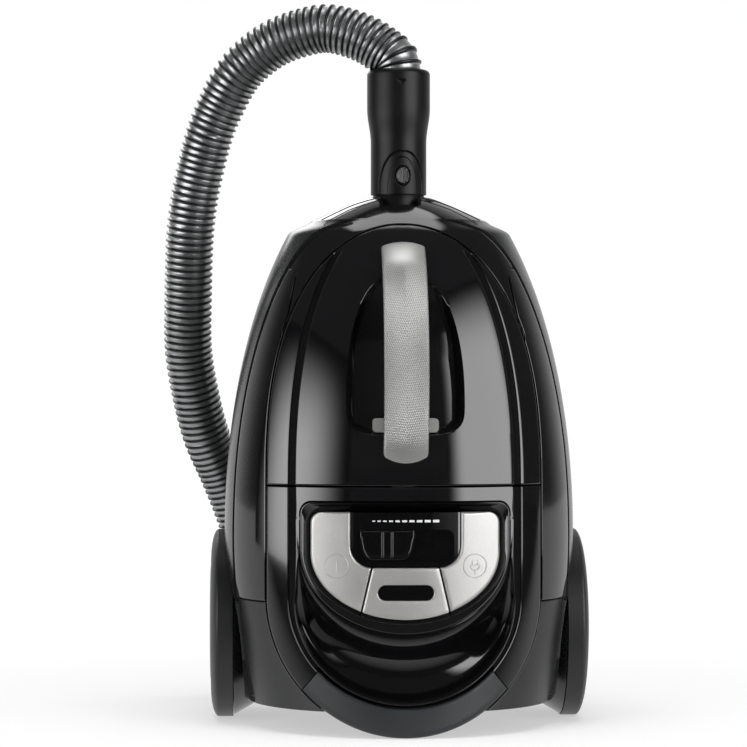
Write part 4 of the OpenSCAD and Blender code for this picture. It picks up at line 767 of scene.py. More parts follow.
def container_shell():
    """Arched cover of the dust container with its grooves and hand recess."""
    top = COVER_Z + COVER_H
    zs = np.concatenate([
        rounded_rows(COVER_Z + 0.1, 226, 2.2)[:-5], np.arange(226.5, 236, 0.5), np.arange(236, 250, 1.0),
        np.arange(250, 352, 1.6), np.arange(352, 378, 1.2),
        top - 12 * (1 - np.linspace(0, 1, 14)) ** 1.6 - 0.02,
    ])
    rows = []
    for z in zs:
        w = float(cover_x(z)) - 0.05
        g = min(float(groove_x(z)), w - 3.4)
        squeeze = min(1, (w - g) / 3.6)
        r = max(RECESS_TIP, min(recess_edge(z), g - 12))
        past = g + 3.3 * squeeze
        xs = np.concatenate([
            r * np.linspace(0, 1, 26)[:-1],
            r + (g - 3.4 - r) * np.linspace(0, 1, 22)[:-1],
            g + np.array([-3.4, -2.9, -2.5, -2.1, -1.6, 0, 1.6, 2.1, 2.5, 2.9]) * squeeze,
            past + (w - 1.3 - past) * np.linspace(0, 1, 7),
            [w - 0.75, w - 0.36, w - 0.1, w],
        ])
        xs = np.maximum.accumulate(np.minimum(xs, w))
        xs = np.concatenate([-xs[:0:-1], xs])
        y = skin_y(xs, z) + groove_depth(xs, z) + recess_depth(xs, z)
        rows.append(np.stack([xs, y, np.full_like(xs, z)], 1))
    return shell("container_shell", rows, "container", piano_abs, lip=1.0)


def nose_shell():
    """Front band of the nose round the container's arch."""
    steps, crest = 60, float(cross_x(NOSE_Z, FRAME_Y))

    def inner(u):
        z = 300 + 90 * math.sin(math.pi / 2 * (1 - abs(u)))
        return np.array([math.copysign(float(cover_x(z)) + SEAM, u), z + SEAM * (1 - abs(u))])

    def outer(u):
        if abs(u) < 0.3:
            return np.array([crest * u / 0.3, NOSE_Z])
        z = 304 + (NOSE_Z - 304) * math.sin(math.pi / 2 * (1 - abs(u)) / 0.7)
        edge = float(cross_x(z, FRAME_Y))
        x = min(fairing_edge(z), edge) if z < FAIR_TOP + 1.2 else edge
        return np.array([math.copysign(max(x, float(cover_x(z)) + SEAM + 1.2), u), z])

    us = [k / steps for k in range(-steps, steps + 1)]
    rows = []
    for f in edge_steps(20, 1.2, 0.9) / 20:
        line = []
        for u in us:
            a, b = inner(u), outer(u)
            q = a + f * (b - a)
            line.append((q[0], min(FRAME_Y - 0.85, float(skin_y(q[0], q[1]))), q[1]))
        rows.append(line)
    return shell(
        "nose_shell", rows, "housing", piano_abs, lip=0.9, rims=(1, 0, 1, 1), back=FRAME_Y
    )


def dome_z(x, y, share):
    """Height of the nose's dome at share of the way from its rim to the hose's hole."""
    front = np.clip((MID_Y - y) / (np.hypot(x, y - MID_Y) + 1e-6), 0, 1)
    z = NOSE_Z + (NOSE_TOP - NOSE_Z) * (1 - power(1 - share, 1 + 0.46 * front))
    notch = ease(14.8 - np.abs(x), 0, 1.4) * ease(y, -27.5, -26) * (y < 0)
    return z - np.maximum(0, z - 406) * notch


def hole_pt(a):
    """Point on the rim of the hole for the collar, angle a in degrees from the front."""
    return NOSE_HOLE * math.sin(math.radians(a)), MID_Y - NOSE_HOLE * math.cos(math.radians(a))


def nose_dome():
    """Domed cap of the nose, open for the hose collar, with a notch in front of it."""
    count = 240
    turns = [360 * k / count for k in range(count)]
    rim = [ring_pt(NOSE_Z, a) for a in turns]
    rings = [[(*map(float, ring_pt(NOSE_Z - 1.5, a, 0.3)), NOSE_Z - 1.5) for a in turns]]
    for share in [*np.linspace(0, 0.1, 5)[:-1], *np.linspace(0.1, 1, 34)]:
        ring = []
        for a, (px, py) in zip(turns, rim):
            qx, qy = hole_pt(a)
            x, y = px + share * (qx - px), py + share * (qy - py)
            ring.append((x, y, float(dome_z(x, y, share))))
        rings.append(ring)
    rings.append([(x, y, z - 3) for x, y, z in rings[-1]])
    faces = grid_faces(len(rings), count, ring=True)
    return piece("nose_dome", flat(rings), faces, "housing", piano_abs)


def nose_seam_shade(side):
    """Painted shadow line: a matt charcoal bead laid on the dome where the front shell meets the back one
    over the nose.
    """
    path = []
    for x in np.linspace(15.6, 62, 60):
        y, share = -14 - 0.3 * max(0, x - 40), 0.0
        a = math.degrees(math.atan2(x, MID_Y - y))
        rim_x, hole_x = ring_pt(NOSE_Z, a)[0], hole_pt(a)[0]
        for share in np.linspace(0, 1, 400):
            if abs(rim_x + share * (hole_x - rim_x)) <= x:
                break
        path.append((side * x, y, float(dome_z(x, y, share)) + 0.05))
    name = f"nose_seam_shade_{right_or_left(side)}"
    return tube(name, path, 0.5, "housing", matt_pp, lift=(0, 0, 1.0))


def body_band():
    """Satin frame between the front and the back shell, seen as a thin line along their seam."""
    zs = np.concatenate([np.linspace(25.2, 380, 110), np.linspace(382, 394, 14)])
    out = [(float(cross_x(z, FRAME_Y, 1.2)), z) for z in zs]
    out += [(x, 394.0) for x in np.linspace(out[-1][0], 0, 12)[1:]]
    inner = []
    for x, z in out:
        near = min(max(z, 36), 383)
        inner.append((max(0, min(x, float(cross_x(near, FRAME_Y, 11)))), near))
    a = out + [(-x, z) for x, z in out[-2::-1]]
    b = inner + [(-x, z) for x, z in inner[-2::-1]]
    corners = ((a, FRAME_Y), (a, PART_Y), (b, PART_Y), (b, FRAME_Y))
    rows = [[(x, y, z) for x, z in line] for line, y in corners]
    faces = grid_faces(len(rows), len(a), ring=True, turn=True)
    return piece("body_band", flat(rows), faces, "housing", satin_abs, smooth=False)


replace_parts(body_band(), "body_frame")
nose_seam_shade(1)
nose_seam_shade(-1)


def fairing_in(z):
    """Inner edge of the side fairings: along the arch, then straight."""
    arch = float(cover_x(z))
    return SEAM + (arch if z < FAIR_FOOT + 3 else max(arch + 1.6, fairing_edge(z)))


# ------------------------------------------------------------------ collar, cuff and its button

# ends of the cuff, radius below and its gain above, bore, rounding of the rim
CUFF_LOW, CUFF_HIGH, CUFF_R, CUFF_GAIN, CUFF_BORE, CUFF_RIM = 416.8, 515.8, 22.1, 2.9, 19.9, 3.8
# turn of the cuff to the right in degrees, and height of its button above the lower end
TWIST, BUTTON_UP = 6.2, 14.2


def cuff_radius(z):
    """Slim below, wider above a soft taper, with a rounded top edge."""
    r = CUFF_R + CUFF_GAIN * ease(z, 458, 485)
    into_rim = np.clip(z - CUFF_HIGH + CUFF_RIM, 0, CUFF_RIM)
    return r - CUFF_RIM + np.sqrt(np.maximum(0, CUFF_RIM**2 - into_rim**2))


def round_cuff(r, degrees, z):
    """Point at radius r and angle from the front round the cuff's axis."""
    return r * math.sin(math.radians(degrees)), MID_Y - r * math.cos(math.radians(degrees)), z


def cuff_sunk(u, w):
    """Depth of the cuff's relief at u across and w above its lower edge: an arch round a bullet-shaped pad,
    the button's seat and a small arrow."""
    def inside(half, top, bend):
        a, b = np.abs(u) / half, np.maximum(w, 0) / top
        slope = bend * np.hypot(a ** (bend - 1) / half, b ** (bend - 1) / top)
        return ease((1 - a**bend - b**bend) / (slope + 0.01), 0, 0.9)
    arch = inside(18.2, 34.2, 2.4) * (1 - inside(12.6, 29.5, 2.2))
    seat = ease(1 - np.hypot(u / 6.3, (w - BUTTON_UP) / 8.1), 0, 0.07)
    mark = ease(np.minimum(90 - w, w - 86 - np.abs(u + 1.6) * 0.9), 0, 1.0)
    return 1.5 * arch + 1.6 * seat + 1.1 * mark


def cuff_shell():
    """Swivelling cuff with its arch, its pad with the button's seat and a small arrow."""
    angles = np.concatenate([np.linspace(-62, 62, 150), np.linspace(70, 290, 30)]) + TWIST
    zs = np.concatenate([
        [CUFF_LOW], np.linspace(CUFF_LOW + 0.5, 452, 66), np.linspace(454, 500, 18),
        np.linspace(501, 508, 12),
        CUFF_HIGH - CUFF_RIM * (1 - np.sin(np.linspace(0, math.pi / 2, 9))),
    ])
    rows = [[round_cuff(CUFF_BORE, a, z) for a in angles] for z in (388, CUFF_LOW)]
    for z in zs:
        r = float(cuff_radius(z))
        row = []
        for a in angles:
            off = (a - TWIST + 180) % 360 - 180
            sunk = float(cuff_sunk(r * math.sin(math.radians(off)), z - CUFF_LOW)) if abs(off) < 66 else 0.0
            row.append(round_cuff(r - sunk, a, z))
        rows.append(row)
    for r, z in ((CUFF_BORE, CUFF_HIGH), (CUFF_BORE - 0.1, CUFF_HIGH - 6)):
        rows.append([round_cuff(r, a, z) for a in angles])
    faces = grid_faces(len(rows), len(angles), ring=True)
    return piece("cuff_shell", flat(rows), faces, "cuff", cuff_pp)


def cuff_cap():
    """Oval release button with a fan of fine ribs."""
    rings = []
    rounding = [(1, -1.6), (1, 0.2), (0.96, 0.6), (0.9, 0.85)]
    for k, lift in [*rounding, *[(f, 1.0) for f in np.linspace(0.82, 0.05, 14)]]:
        ring = []
        for t in np.linspace(0, 2 * math.pi, 72, endpoint=False):
            u, w = 5.3 * k * math.cos(t), 7.1 * k * math.sin(t)
            rib = 0.3 * math.cos(2 * math.pi * u / (2.0 - 0.05 * w)) * float(ease(0.9 - k, 0, 0.1))
            r, a = CUFF_R + 0.3 + lift + rib, TWIST + math.degrees(u / CUFF_R)
            ring.append(round_cuff(r, a, CUFF_LOW + BUTTON_UP + w))
        rings.append(ring)
    return loops("cuff_cap", rings, "cuff_press", satin_button)


def hose_collar():
    """Fixed collar of the nose in which the cuff turns, stepped in to a short neck."""
    profile = [(384, 23.9), (402, 23.9), (404.5, 23.4), (406, 22.2), (407.5, 20.7), (409, 20.35), (416, 20.3),
               (416.4, 20.0)]
    return turned("hose_collar", profile, (0, MID_Y), "z", "housing", cuff_pp)


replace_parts(cuff_shell(), "hose_cuff")
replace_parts(cuff_cap(), "cuff_button")
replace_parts(hose_collar(), "inlet_collar")

# ------------------------------------------------------------------ handle

# radius and centre (Y, Z) of the handle's arc, heights of the grip's ends
STRAP_R, STRAP_C, STRAP_LOW, STRAP_HIGH = 121.5, (-1.0, 270.0), 206.0, 377.2
# the grip's half width, crown, thickness, length and rounding of its rims
STRAP_HALF, STRAP_CROWN, STRAP_THICK, STRAP_RUN, STRAP_RIM = 17.0, 3.3, 4.9, 168.8, 1.5


def handle_strap():
    """Crowned silver grip over the handle's arc, its ends cut to shallow arcs."""
    across = STRAP_HALF * np.sin(np.linspace(-90, 90, 41) * math.pi / 180)
    bowed = STRAP_CROWN * (across / STRAP_HALF) ** 2 + roll(STRAP_HALF - np.abs(across), STRAP_RIM)
    section = [(-STRAP_HALF, STRAP_THICK), *zip(across, bowed), (STRAP_HALF, STRAP_THICK)]
    rim = [0, 0.1, 0.35, 0.8, 1.5]
    steps = [*rim, *np.linspace(2.5, STRAP_RUN - 2.5, 110), *[STRAP_RUN - r for r in rim[::-1]]]
    rows = []
    for d in steps:
        row = []
        sink = float(roll(np.array(min(d, STRAP_RUN - d)), STRAP_RIM))
        for x, depth in section:
            bow = (x / STRAP_HALF) ** 2
            low, high = STRAP_LOW + 2.4 * bow, STRAP_HIGH - 0.8 * bow
            z = low + (high - low) * d / STRAP_RUN
            a = math.asin((z - STRAP_C[1]) / STRAP_R)
            r = STRAP_R - min(STRAP_THICK, depth + sink)
            row.append((x, STRAP_C[0] - r * math.cos(a), STRAP_C[1] + r * math.sin(a)))
        rows.append(row)
    m, n = len(rows), len(section)
    under = []
    for x, y, z in flat(rows):
        k = (STRAP_R - 5) / math.hypot(y - STRAP_C[0], z - STRAP_C[1])
        under.append((x, STRAP_C[0] + (y - STRAP_C[0]) * k, STRAP_C[1] + (z - STRAP_C[1]) * k))
    faces = grid_faces(m, n) + grid_faces(m, n, first=m * n)
    for i in range(m - 1):
        for j in (0, n - 1):
            faces.append((i * n + j, (i + 1) * n + j, (m + i + 1) * n + j, (m + i) * n + j))
    for j in range(n - 1):
        for i in (0, m - 1):
            faces.append((i * n + j, i * n + j + 1, (m + i) * n + j + 1, (m + i) * n + j))
    return piece("handle_strap", flat(rows) + under, faces, "container", grip_silver)


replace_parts(handle_strap(), "handle_grip")

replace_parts(container_shell(), "container_cover")
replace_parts(nose_shell(), "nose_cover")
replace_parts(nose_dome(), "nose_cap")

fairing = arc_rows(rounded_rows(101, FAIR_TOP, 3.0), fairing_in, lambda z: cross_x(z, FRAME_Y))
fairings = [shell(f"side_fairing_{side}", rows, "housing", piano_abs, back=FRAME_Y)
            for side, rows in (("right", fairing), ("left", both(fairing)))]
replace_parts(fairings[0], "side_fairings")


def skirt_in(z):
    """Inner edge of the side skirts, along the ring."""
    return float(ring_x(z, RING_OUT, RING_OUT)) + SEAM


SKIRT_SINK = 2.5
skirt = arc_rows(rounded_rows(TAIL_Z, 100.2, 2.0), skirt_in, lambda z: cross_x(z, FRAME_Y, SKIRT_SINK),
                 sink=SKIRT_SINK, step=2.0)
skirts = [shell(f"side_skirt_{side}", rows, "housing", satin_abs, back=FRAME_Y)
          for side, rows in (("right", skirt), ("left", both(skirt)))]
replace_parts(skirts[0], "side_skirts")


def ring_band(b, f, depth):
    """Point of the ring round the tail at angle b from the bottom, at share f of the way outwards."""
    s, c = math.sin(math.radians(b)), math.cos(math.radians(b))
    ax, az = RING_IN * s, RING_Z - RING_IN_DROP * c
    x, z = ax + f * (RING_OUT * s - ax), az + f * (RING_Z - RING_OUT * c - az)
    return x, float(skin_y(x, z)) + depth, z


def band_profile(lip_in, lip_out, deep_in, deep_out, count=26):
    """Shares and depths across the ring: rounded at both edges, with walls behind them."""
    width = 19.0
    across = edge_steps(width, width / count, 1.0)
    depth = np.maximum(roll(across, lip_in), roll(width - across, lip_out))
    return [(0, deep_in), *[(a / width, d) for a, d in zip(across, depth)], (1, deep_out)]


def tail_bumper():
    """Soft bumper: the lowest part of the ring, on which the parked object leans."""
    section = band_profile(2.6, 4.2, 20, 20) + [(0.92, 23), (0.1, 23)]
    m, n = 121, len(section)
    points = [ring_band(b, f, d) for b in np.linspace(-48, 48, m) for f, d in section]
    faces = grid_faces(m, n, ring=True) + [tuple(range(n))[::-1], tuple(range((m - 1) * n, m * n))]
    return piece("tail_bumper", points, faces, "housing", bumper_rubber)


def trim_arm(side):
    """Glossy arm of the ring: from the bumper round the deck and straight up beside it."""
    section = band_profile(1.4, 1.0, 5, 7)
    rows = [[ring_band(b, f, d) for f, d in section] for b in np.linspace(48.5, 90, 60)]
    top = COVER_Z - SEAM
    for z in [*np.linspace(RING_Z + 1, top - 1, 40), top - 0.4, top]:
        drop = float(roll(np.array(top - z), 0.9))
        row = []
        for f, d in section:
            x = RING_IN + f * (RING_OUT - RING_IN)
            row.append((x, float(skin_y(x, z)) + d + drop, z))
        rows.append(row)
    points = [(side * x, y, z) for x, y, z in flat(rows)]
    m, n = len(rows), len(section)
    faces = grid_faces(m, n) + [tuple(range(n))[::-1], tuple(range((m - 1) * n, m * n))]
    return piece(f"trim_arm_{right_or_left(side)}", points, faces, "housing", piano_abs)


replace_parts(tail_bumper(), "rear_bumper")
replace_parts(trim_arm(1), "deck_trim")
trim_arm(-1)

# ------------------------------------------------------------------ rear deck and control pod

# pod: half width, top, height where its sides bend in, depth of its elliptic bottom, radius of its corners
POD_HALF, POD_TOP, POD_KNEE, POD_DROP, POD_CORNER = 80.0, 178.0, 142.0, 64.0, 9.0
# trough of the pod, the same way, and the curve of the keys' lower edge
TROUGH_HALF, TROUGH_TOP, TROUGH_KNEE, TROUGH_DROP, TROUGH_CORNER = 72.6, 170.8, 139.0, 50.8, 8.8
KEY_HALF, KEY_DROP, KEY_SINK = 71.8, 50.0, 1.5
# half width of the deck with its channel, and how far they reach below the ring's centre
DECK_OUT, TAIL_DROP = 88.3, 82.0


def pod_outline(half, top, knee, drop, corner, across=()):
    """Outline of the pod in X and Z: elliptic bottom, straight sides, rounded top corners."""
    low = [(half * math.cos(a), knee + drop * math.sin(a)) for a in np.radians(np.arange(-180, 0.01, 3.0))]
    up = [(half, z) for z in np.linspace(knee, top - corner, 8)[1:-1]]
    right = [(half - corner + corner * math.cos(a), top - corner + corner * math.sin(a))
             for a in np.radians(np.arange(0, 91, 7.5))]
    left = [(-x, z) for x, z in right[::-1]]
    down = [(-x, z) for x, z in up[::-1]]
    return low + up + right + [(x, top) for x in across] + left + down


def channel(z):
    """Width of the channel between deck and ring, its bottom painted black as shade: wide beside the pod,
    narrow round the tail.
    """
    return 2.2 + 3.2 * float(ease(z, 60, 150))


def deck_out(x, z):
    """Outer edge of the deck for a point of the pod's outline."""
    top = COVER_Z - SEAM
    edge = DECK_OUT - channel(z)
    if z > POD_TOP - 1:
        return float(np.clip(x * edge / 63, -edge, edge)), top
    if z > POD_KNEE + 0.1:
        return math.copysign(edge, x), top - (top - 165) * float(ease(POD_TOP - z, 0, 8))
    a = math.degrees(math.asin(min(1, (POD_KNEE - z) / (POD_DROP + 0.5))))
    if a < 20:
        return math.copysign(edge, x), RING_Z + 45 * (20 - a) / 20
    b = math.radians((a - 20) * 90 / 70)
    w = DECK_OUT - channel(RING_Z - TAIL_DROP * math.sin(b))
    return math.copysign(w * math.cos(b), x), RING_Z - (w - 5.8) * math.sin(b)


def softened(line, rounds=2):
    """The line with its corners cut back, ends kept."""
    for _ in range(rounds):
        cut = [line[0]]
        for p, q in zip(line, line[1:]):
            cut += [tuple(k * a + (1 - k) * b for a, b in zip(p, q)) for k in (0.75, 0.25)]
        line = cut + [line[-1]]
    return line


def deck_shell():
    """Gloss deck round the pod: flush with the cover beside it, a thin lip and a deep scoop below it."""
    # share of the way from the lip to the pod, and depth of the scoop there
    scoop = ((0.2, 29), (0.4, 29), (0.56, 27.5), (0.68, 24), (0.76, 20.5), (0.84, 18), (0.93, 17))
    rays = []
    outline = pod_outline(POD_HALF + 0.5, POD_TOP + 0.5, POD_KNEE, POD_DROP + 0.5, POD_CORNER + 0.5,
                          across=np.linspace(66, -66, 40))
    for x, z in outline:
        ox, oz = deck_out(x, z)
        reach = math.hypot(x - ox, z - oz)
        nx, nz = (x - ox) / reach, (z - oz) / reach
        f = float(ease(POD_KNEE - z, 0, 50))
        line = [(0, 4), (0, 1.0), (0.15, 0.45), (0.6, 0.1), (1.3, 0.5 * f), (2.0, f), (2.7, 5 * f),
                (3.4, 27 * f), *[(3 + (reach - 3) * k, deep * f) for k, deep in scoop],
                (reach - 0.05, 17 * f), (reach, 17 * f + 6)]
        rays.append([(ox + nx * c, float(skin_y(ox + nx * c, oz + nz * c)) + deep, oz + nz * c)
                     for c, deep in softened(line)])
    faces = grid_faces(len(rays), len(rays[0]), turn=True)
    return piece("deck_shell", flat(rays), faces, "housing", piano_abs)


def channel_shade_strip(side):
    """Painted shade: a matt black sheet at the bottom of the channel between deck and ring."""
    inner, outer, sunk, n = DECK_OUT - 0.5, DECK_OUT + 0.5, 1.4, 6
    rows = [[(x, z) for x in np.linspace(inner - channel(z), outer, n)]
            for z in np.linspace(188.6, RING_Z, 50)]
    for b in np.radians(np.linspace(90, 50, 30)):
        w = inner - channel(RING_Z - TAIL_DROP * math.cos(b))
        low, high = w - 5.8, 83.0
        rows.append([((w + f * (outer - w)) * math.sin(b), RING_Z - (low + f * (high - low)) * math.cos(b))
                     for f in np.linspace(0, 1, n)])
    points = [(side * x, float(skin_y(x, z)) + sunk, z) for x, z in flat(rows)]
    name = f"channel_shade_strip_{right_or_left(side)}"
    return piece(name, points, grid_faces(len(rows), n), "housing", painted_shade_black)


def groove_shade_strip(side):
    """Painted shade: a matt black sheet at the bottom of the cover's decorative groove."""
    rows = []
    for z in np.linspace(190.6, 380, 110):
        half = 2.35 * float(ease(381 - z, 0, 24)) + 0.1
        row = []
        for u in (-1, -0.5, 0, 0.5, 1):
            x = float(groove_x(z)) + u * half
            row.append((side * x, float(skin_y(x, z)) + 0.9 + 0.4 * (1 - abs(u)), z))
        rows.append(row)
    name = f"groove_shade_strip_{right_or_left(side)}"
    return piece(name, flat(rows), grid_faces(len(rows), 5), "container", painted_shade_black)


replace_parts(deck_shell(), "rear_deck")
# black strips of painted shade in the deck's channels and the cover's grooves
for side in (1, -1):
    channel_shade_strip(side)
    groove_shade_strip(side)


def face_at(x, sink=0.0):
    """Y of the curved control face, sunk by sink."""
    return FACE_Y - math.sqrt((FACE_R - sink) ** 2 - x * x)


def pod_frame():
    """Gloss frame of the pod with a rounded rim, its trough open to the controls."""
    def at(d, depth, inner=False):
        if inner:
            line = pod_outline(
                TROUGH_HALF + d, TROUGH_TOP + d, TROUGH_KNEE, TROUGH_DROP + d, TROUGH_CORNER + d
            )
        else:
            line = pod_outline(POD_HALF - d, POD_TOP - d, POD_KNEE, POD_DROP - d, POD_CORNER - d)
        return [(x, face_at(x, depth), z) for x, z in line]

    rim = [(0, 18), (0, 3), (0.1, 1.4), (0.4, 0.5), (0.9, 0.05), (1.4, 0), (1.9, 0.2), (2.5, 0.9)]
    wall = [(3.4, 2.2), (2.2, 3.6), (1.0, 5.2), (0.3, 6.4), (0, 7.5), (0, 14.9)]
    rings = [at(d, depth) for d, depth in rim] + [at(d, depth, True) for d, depth in wall]
    return loops("pod_frame", rings, "housing", piano_abs)


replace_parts(pod_frame(), "control_bezel")


def spaced(line, parts, lip):
    """The line cut into about that many parts, closer together within lip of its ends."""
    length = np.concatenate([[0], np.cumsum(np.linalg.norm(np.diff(line, axis=0), axis=1))])
    at = edge_steps(length[-1], length[-1] / parts, lip)
    return np.stack([np.interp(at, length, line[:, k]) for k in (0, 1)], 1)


def matched(line, count):
    """The line with count points, spread as its own points are."""
    at = np.linspace(0, len(line) - 1, count)
    return np.stack([np.interp(at, np.arange(len(line)), line[:, k]) for k in (0, 1)], 1)


def key_cap(side, name, body):
    """Silver key: a curved band from its top edge down to the wedge of the middle plate."""
    corner_r = 8
    corner = [(corner_r - KEY_HALF - corner_r * math.sin(a), 162 + corner_r * math.cos(a))
              for a in np.radians(np.linspace(0, 90, 10))]
    bottom = [(KEY_HALF * math.cos(a), TROUGH_KNEE + KEY_DROP * math.sin(a))
              for a in np.radians(np.linspace(-180, -118.2, 50))]
    outer = np.array(corner + [(-KEY_HALF, z) for z in np.linspace(160, 140, 10)] + bottom)
    arc = [(-25 - 17 * math.cos(a), 145 - 17 * math.sin(a)) for a in np.radians(np.linspace(0, 85.5, 24))]
    inner = np.array([(-42, z) for z in np.linspace(170, 146, 16)] + arc)
    a, b = spaced(outer, 60, 2.0), spaced(inner, 60, 2.0)
    count = min(len(a), len(b))
    a, b = matched(a, count), matched(b, count)
    rows = []
    for f in edge_steps(30, 1.6, 2.2) / 30:
        line = a + f * (b - a)
        rows.append([(-side * x, face_at(x, KEY_SINK), z) for x, z in line])
    return shell(name, rows, body, silver_lacquer, lip=2.0, deep=7)


def raised_mark(name, body, lines):
    """Fine raised lines of a symbol, drawn as beads half sunk into the key."""
    for k, (path, closed) in enumerate(lines):
        path = [(x, face_at(x, KEY_SINK) + 0.05, z) for x, z in path]
        tube(f"{name}_{k}", path, 0.45, body, silver_lacquer, closed=closed)


def circle(cx, cz, r, a0=0, a1=360, count=48):
    """Points of a circle or an arc in X and Z."""
    return [(cx + r * math.cos(math.radians(a)), cz + r * math.sin(math.radians(a)))
            for a in np.linspace(a0, a1, count, endpoint=a1 - a0 < 360)]


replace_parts(key_cap(-1, "power_key_cap", "power"), "power_key")
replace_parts(key_cap(1, "rewind_key_cap", "rewind"), "rewind_key")
# middle and radius of the round marks, and of the plug in one of them
MARK_X, MARK_Z, MARK_R, PLUG_Z, PLUG_R = 52.5, 129.5, 8.9, 129.8, 3.6
raised_mark("power_mark", "power", [
    (circle(-MARK_X, MARK_Z, MARK_R), True), ([(-MARK_X, z) for z in np.linspace(125, 134, 8)], False)])
raised_mark("rewind_mark", "rewind", [
    (circle(MARK_X, MARK_Z, MARK_R), True),
    (circle(MARK_X, PLUG_Z, PLUG_R, 180, 360, 20), False),
    ([(MARK_X - PLUG_R, PLUG_Z), (MARK_X + PLUG_R, PLUG_Z)], False),
    ([(MARK_X - 1.9, PLUG_Z), (MARK_X - 1.9, 134)], False),
    ([(MARK_X + 1.9, PLUG_Z), (MARK_X + 1.9, 134)], False),
    ([(MARK_X, PLUG_Z - PLUG_R), (MARK_X, 123)], False)])


def middle_plate():
    """Silver plate between the keys with the stadium window."""
    count, mid = 200, 109.4
    window_half, window_r = 21.2, 5.9

    def reach(outside, far, steps, near):
        """Closed line round the middle of the plate: in each direction the first point outside."""
        line = []
        for k in range(count):
            dx, dz = math.cos(2 * math.pi * k / count), math.sin(2 * math.pi * k / count)
            t = np.linspace(near, far, steps)
            first = t[np.argmax(outside(t * dx, mid + t * dz))]
            line.append((first * dx, mid + first * dz))
        return line

    def outer(d):
        return reach(lambda x, z: (np.abs(x) > 22.7 - d + (138 - z) * 12.3 / 52) | (z > 128 - d) | (
            z < TROUGH_KNEE - KEY_DROP * np.sqrt(np.maximum(0, 1 - (x / KEY_HALF) ** 2)) + d), 60, 600, 1)

    def window(d):
        return reach(lambda x, z: np.hypot(
            np.maximum(0, np.abs(x) - (window_half - window_r)), z - mid) > window_r + d, 60, 1200, 0.5)

    def put(line, depth):
        return [(x, face_at(x, KEY_SINK + depth), z) for x, z in line]

    a, b = outer(1.1), window(0.9)
    middle = [[(p[0] + f * (q[0] - p[0]), p[1] + f * (q[1] - p[1])) for p, q in zip(a, b)]
              for f in (0.2, 0.4, 0.6, 0.8)]
    rings = [put(outer(0), 7), put(outer(0), 1.1), put(outer(0.15), 0.55), put(outer(0.5), 0.16), put(a, 0),
             *[put(m, 0) for m in middle],
             put(b, 0), put(window(0.45), 0.14), put(window(0.12), 0.5), put(window(0), 1.0),
             put(window(0), 3.4)]
    return loops("middle_plate", rings, "housing", silver_lacquer, fill=False)


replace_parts(middle_plate(), "indicator_plate")


def scale_marks():
    """Ten printed dashes that grow towards full suction."""
    points, faces = [], []
    left, middle, gap = -25.3, 163.5, 1.8
    for k in range(10):
        wide, high = 2.1 + 0.3 * k, 0.8 + 0.13 * k
        base = len(points)
        for x in np.linspace(left, left + wide, 4):
            for z in (middle - high / 2, middle + high / 2):
                points.append((x, face_at(x, 4) - 0.05, z))
        faces += [(base + 2 * i, base + 2 * i + 1, base + 2 * i + 3, base + 2 * i + 2) for i in range(3)]
        left += wide + gap
    return piece("scale_marks", points, faces, "housing", white_ink, smooth=False)


scale_marks()


def slider_cap():
    """Knob of the suction slider: a shield shape with a fine rim."""
    middle, top, bottom = -14.15, 156.6, 134.3

    def edge(d):
        corner = [(9.6 + (8.2 - d) * math.cos(a), 141.3 - (7.0 - d) * math.sin(a))
                  for a in np.radians(np.linspace(12, 90, 12))]
        right = [(20.35 - d, top - d), (20.2 - d, 150), (18.6 - d, 142), *corner]
        low = [(x, bottom + d) for x in np.linspace(8.5, -8.5, 10)]
        left = [(-x, z) for x, z in right[::-1]]
        high = [(x, top - d) for x in np.linspace(-20 + d, 20 - d, 24)[1:-1]]
        return [(middle + x, z) for x, z in right + low + left + high]

    rim = ((0, -97.6), (0, -102.9), (0.12, -103.2), (0.4, -103.35), (0.75, -103.3), (1.0, -102.8),
           (1.3, -102.7), (4, -102.7))
    rings = [[(x, y, z) for x, z in edge(d)] for d, y in rim]
    return loops("slider_cap", rings, "suction", black_acrylic)


def slider_rib(name, x):
    """Finger rib: a low bar with steep sides that catch the light."""
    section = [(-1.25, -102.6), (-1.15, -103.5), (-0.75, -104.0), (0, -104.1), (0.75, -104.0), (1.15, -103.5),
               (1.25, -102.6)]
    straight = [(z, 1) for z in np.linspace(138, 154, 8)]
    heights = [(135.6, 0.3), (136.2, 1), *straight, (155.4, 1), (155.9, 0.3)]
    rows = [[(x + u * k, y + 0.7 * (1 - k), z) for u, y in section] for z, k in heights]
    faces = grid_faces(len(rows), len(section))
    return piece(name, flat(rows), faces, "suction", satin_button)


def slider_shutter():
    """Strip that slides behind the slot with the knob and keeps dust out of the pod."""
    section = ((-93.5, 141), (-94.3, 141.1), (-94.4, 145.5), (-94.3, 149.9), (-93.5, 150))
    rows = [[(x, y, z) for x in np.linspace(-41, 27, 12)] for y, z in section]
    faces = grid_faces(len(rows), 12)
    return piece("slider_shutter", flat(rows), faces, "suction", black_acrylic)


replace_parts(slider_cap(), "slider_knob")
slider_rib("slider_rib_left", -17.6)
slider_rib("slider_rib_right", -10.4)
slider_shutter()

# ------------------------------------------------------------------ tub with its wheel pockets


def cut_with(obj, tools):
    """Takes the tools out of obj and removes them."""
    for tool in tools:
        step = obj.modifiers.new("cut", "BOOLEAN")
        step.operation, step.solver, step.object = "DIFFERENCE", "EXACT", tool
    bpy.context.view_layer.update()
    done = bpy.data.meshes.new_from_object(obj.evaluated_get(bpy.context.evaluated_depsgraph_get()))
    obj.modifiers.clear()
    obj.data = done
    for tool in tools:
        bpy.data.objects.remove(tool)
    return obj


def cutter(points, faces):
    """A closed mesh that only serves to cut."""
    mesh = bpy.data.meshes.new("cutter")
    mesh.from_pydata([tuple(0.001 * float(c) for c in p) for p in points], [], faces)
    bm = bmesh.new()
    bm.from_mesh(mesh)
    bmesh.ops.recalc_face_normals(bm, faces=bm.faces)
    bm.to_mesh(mesh)
    bm.free()
    obj = bpy.data.objects.new("cutter", mesh)
    scene.collection.objects.link(obj)
    return obj


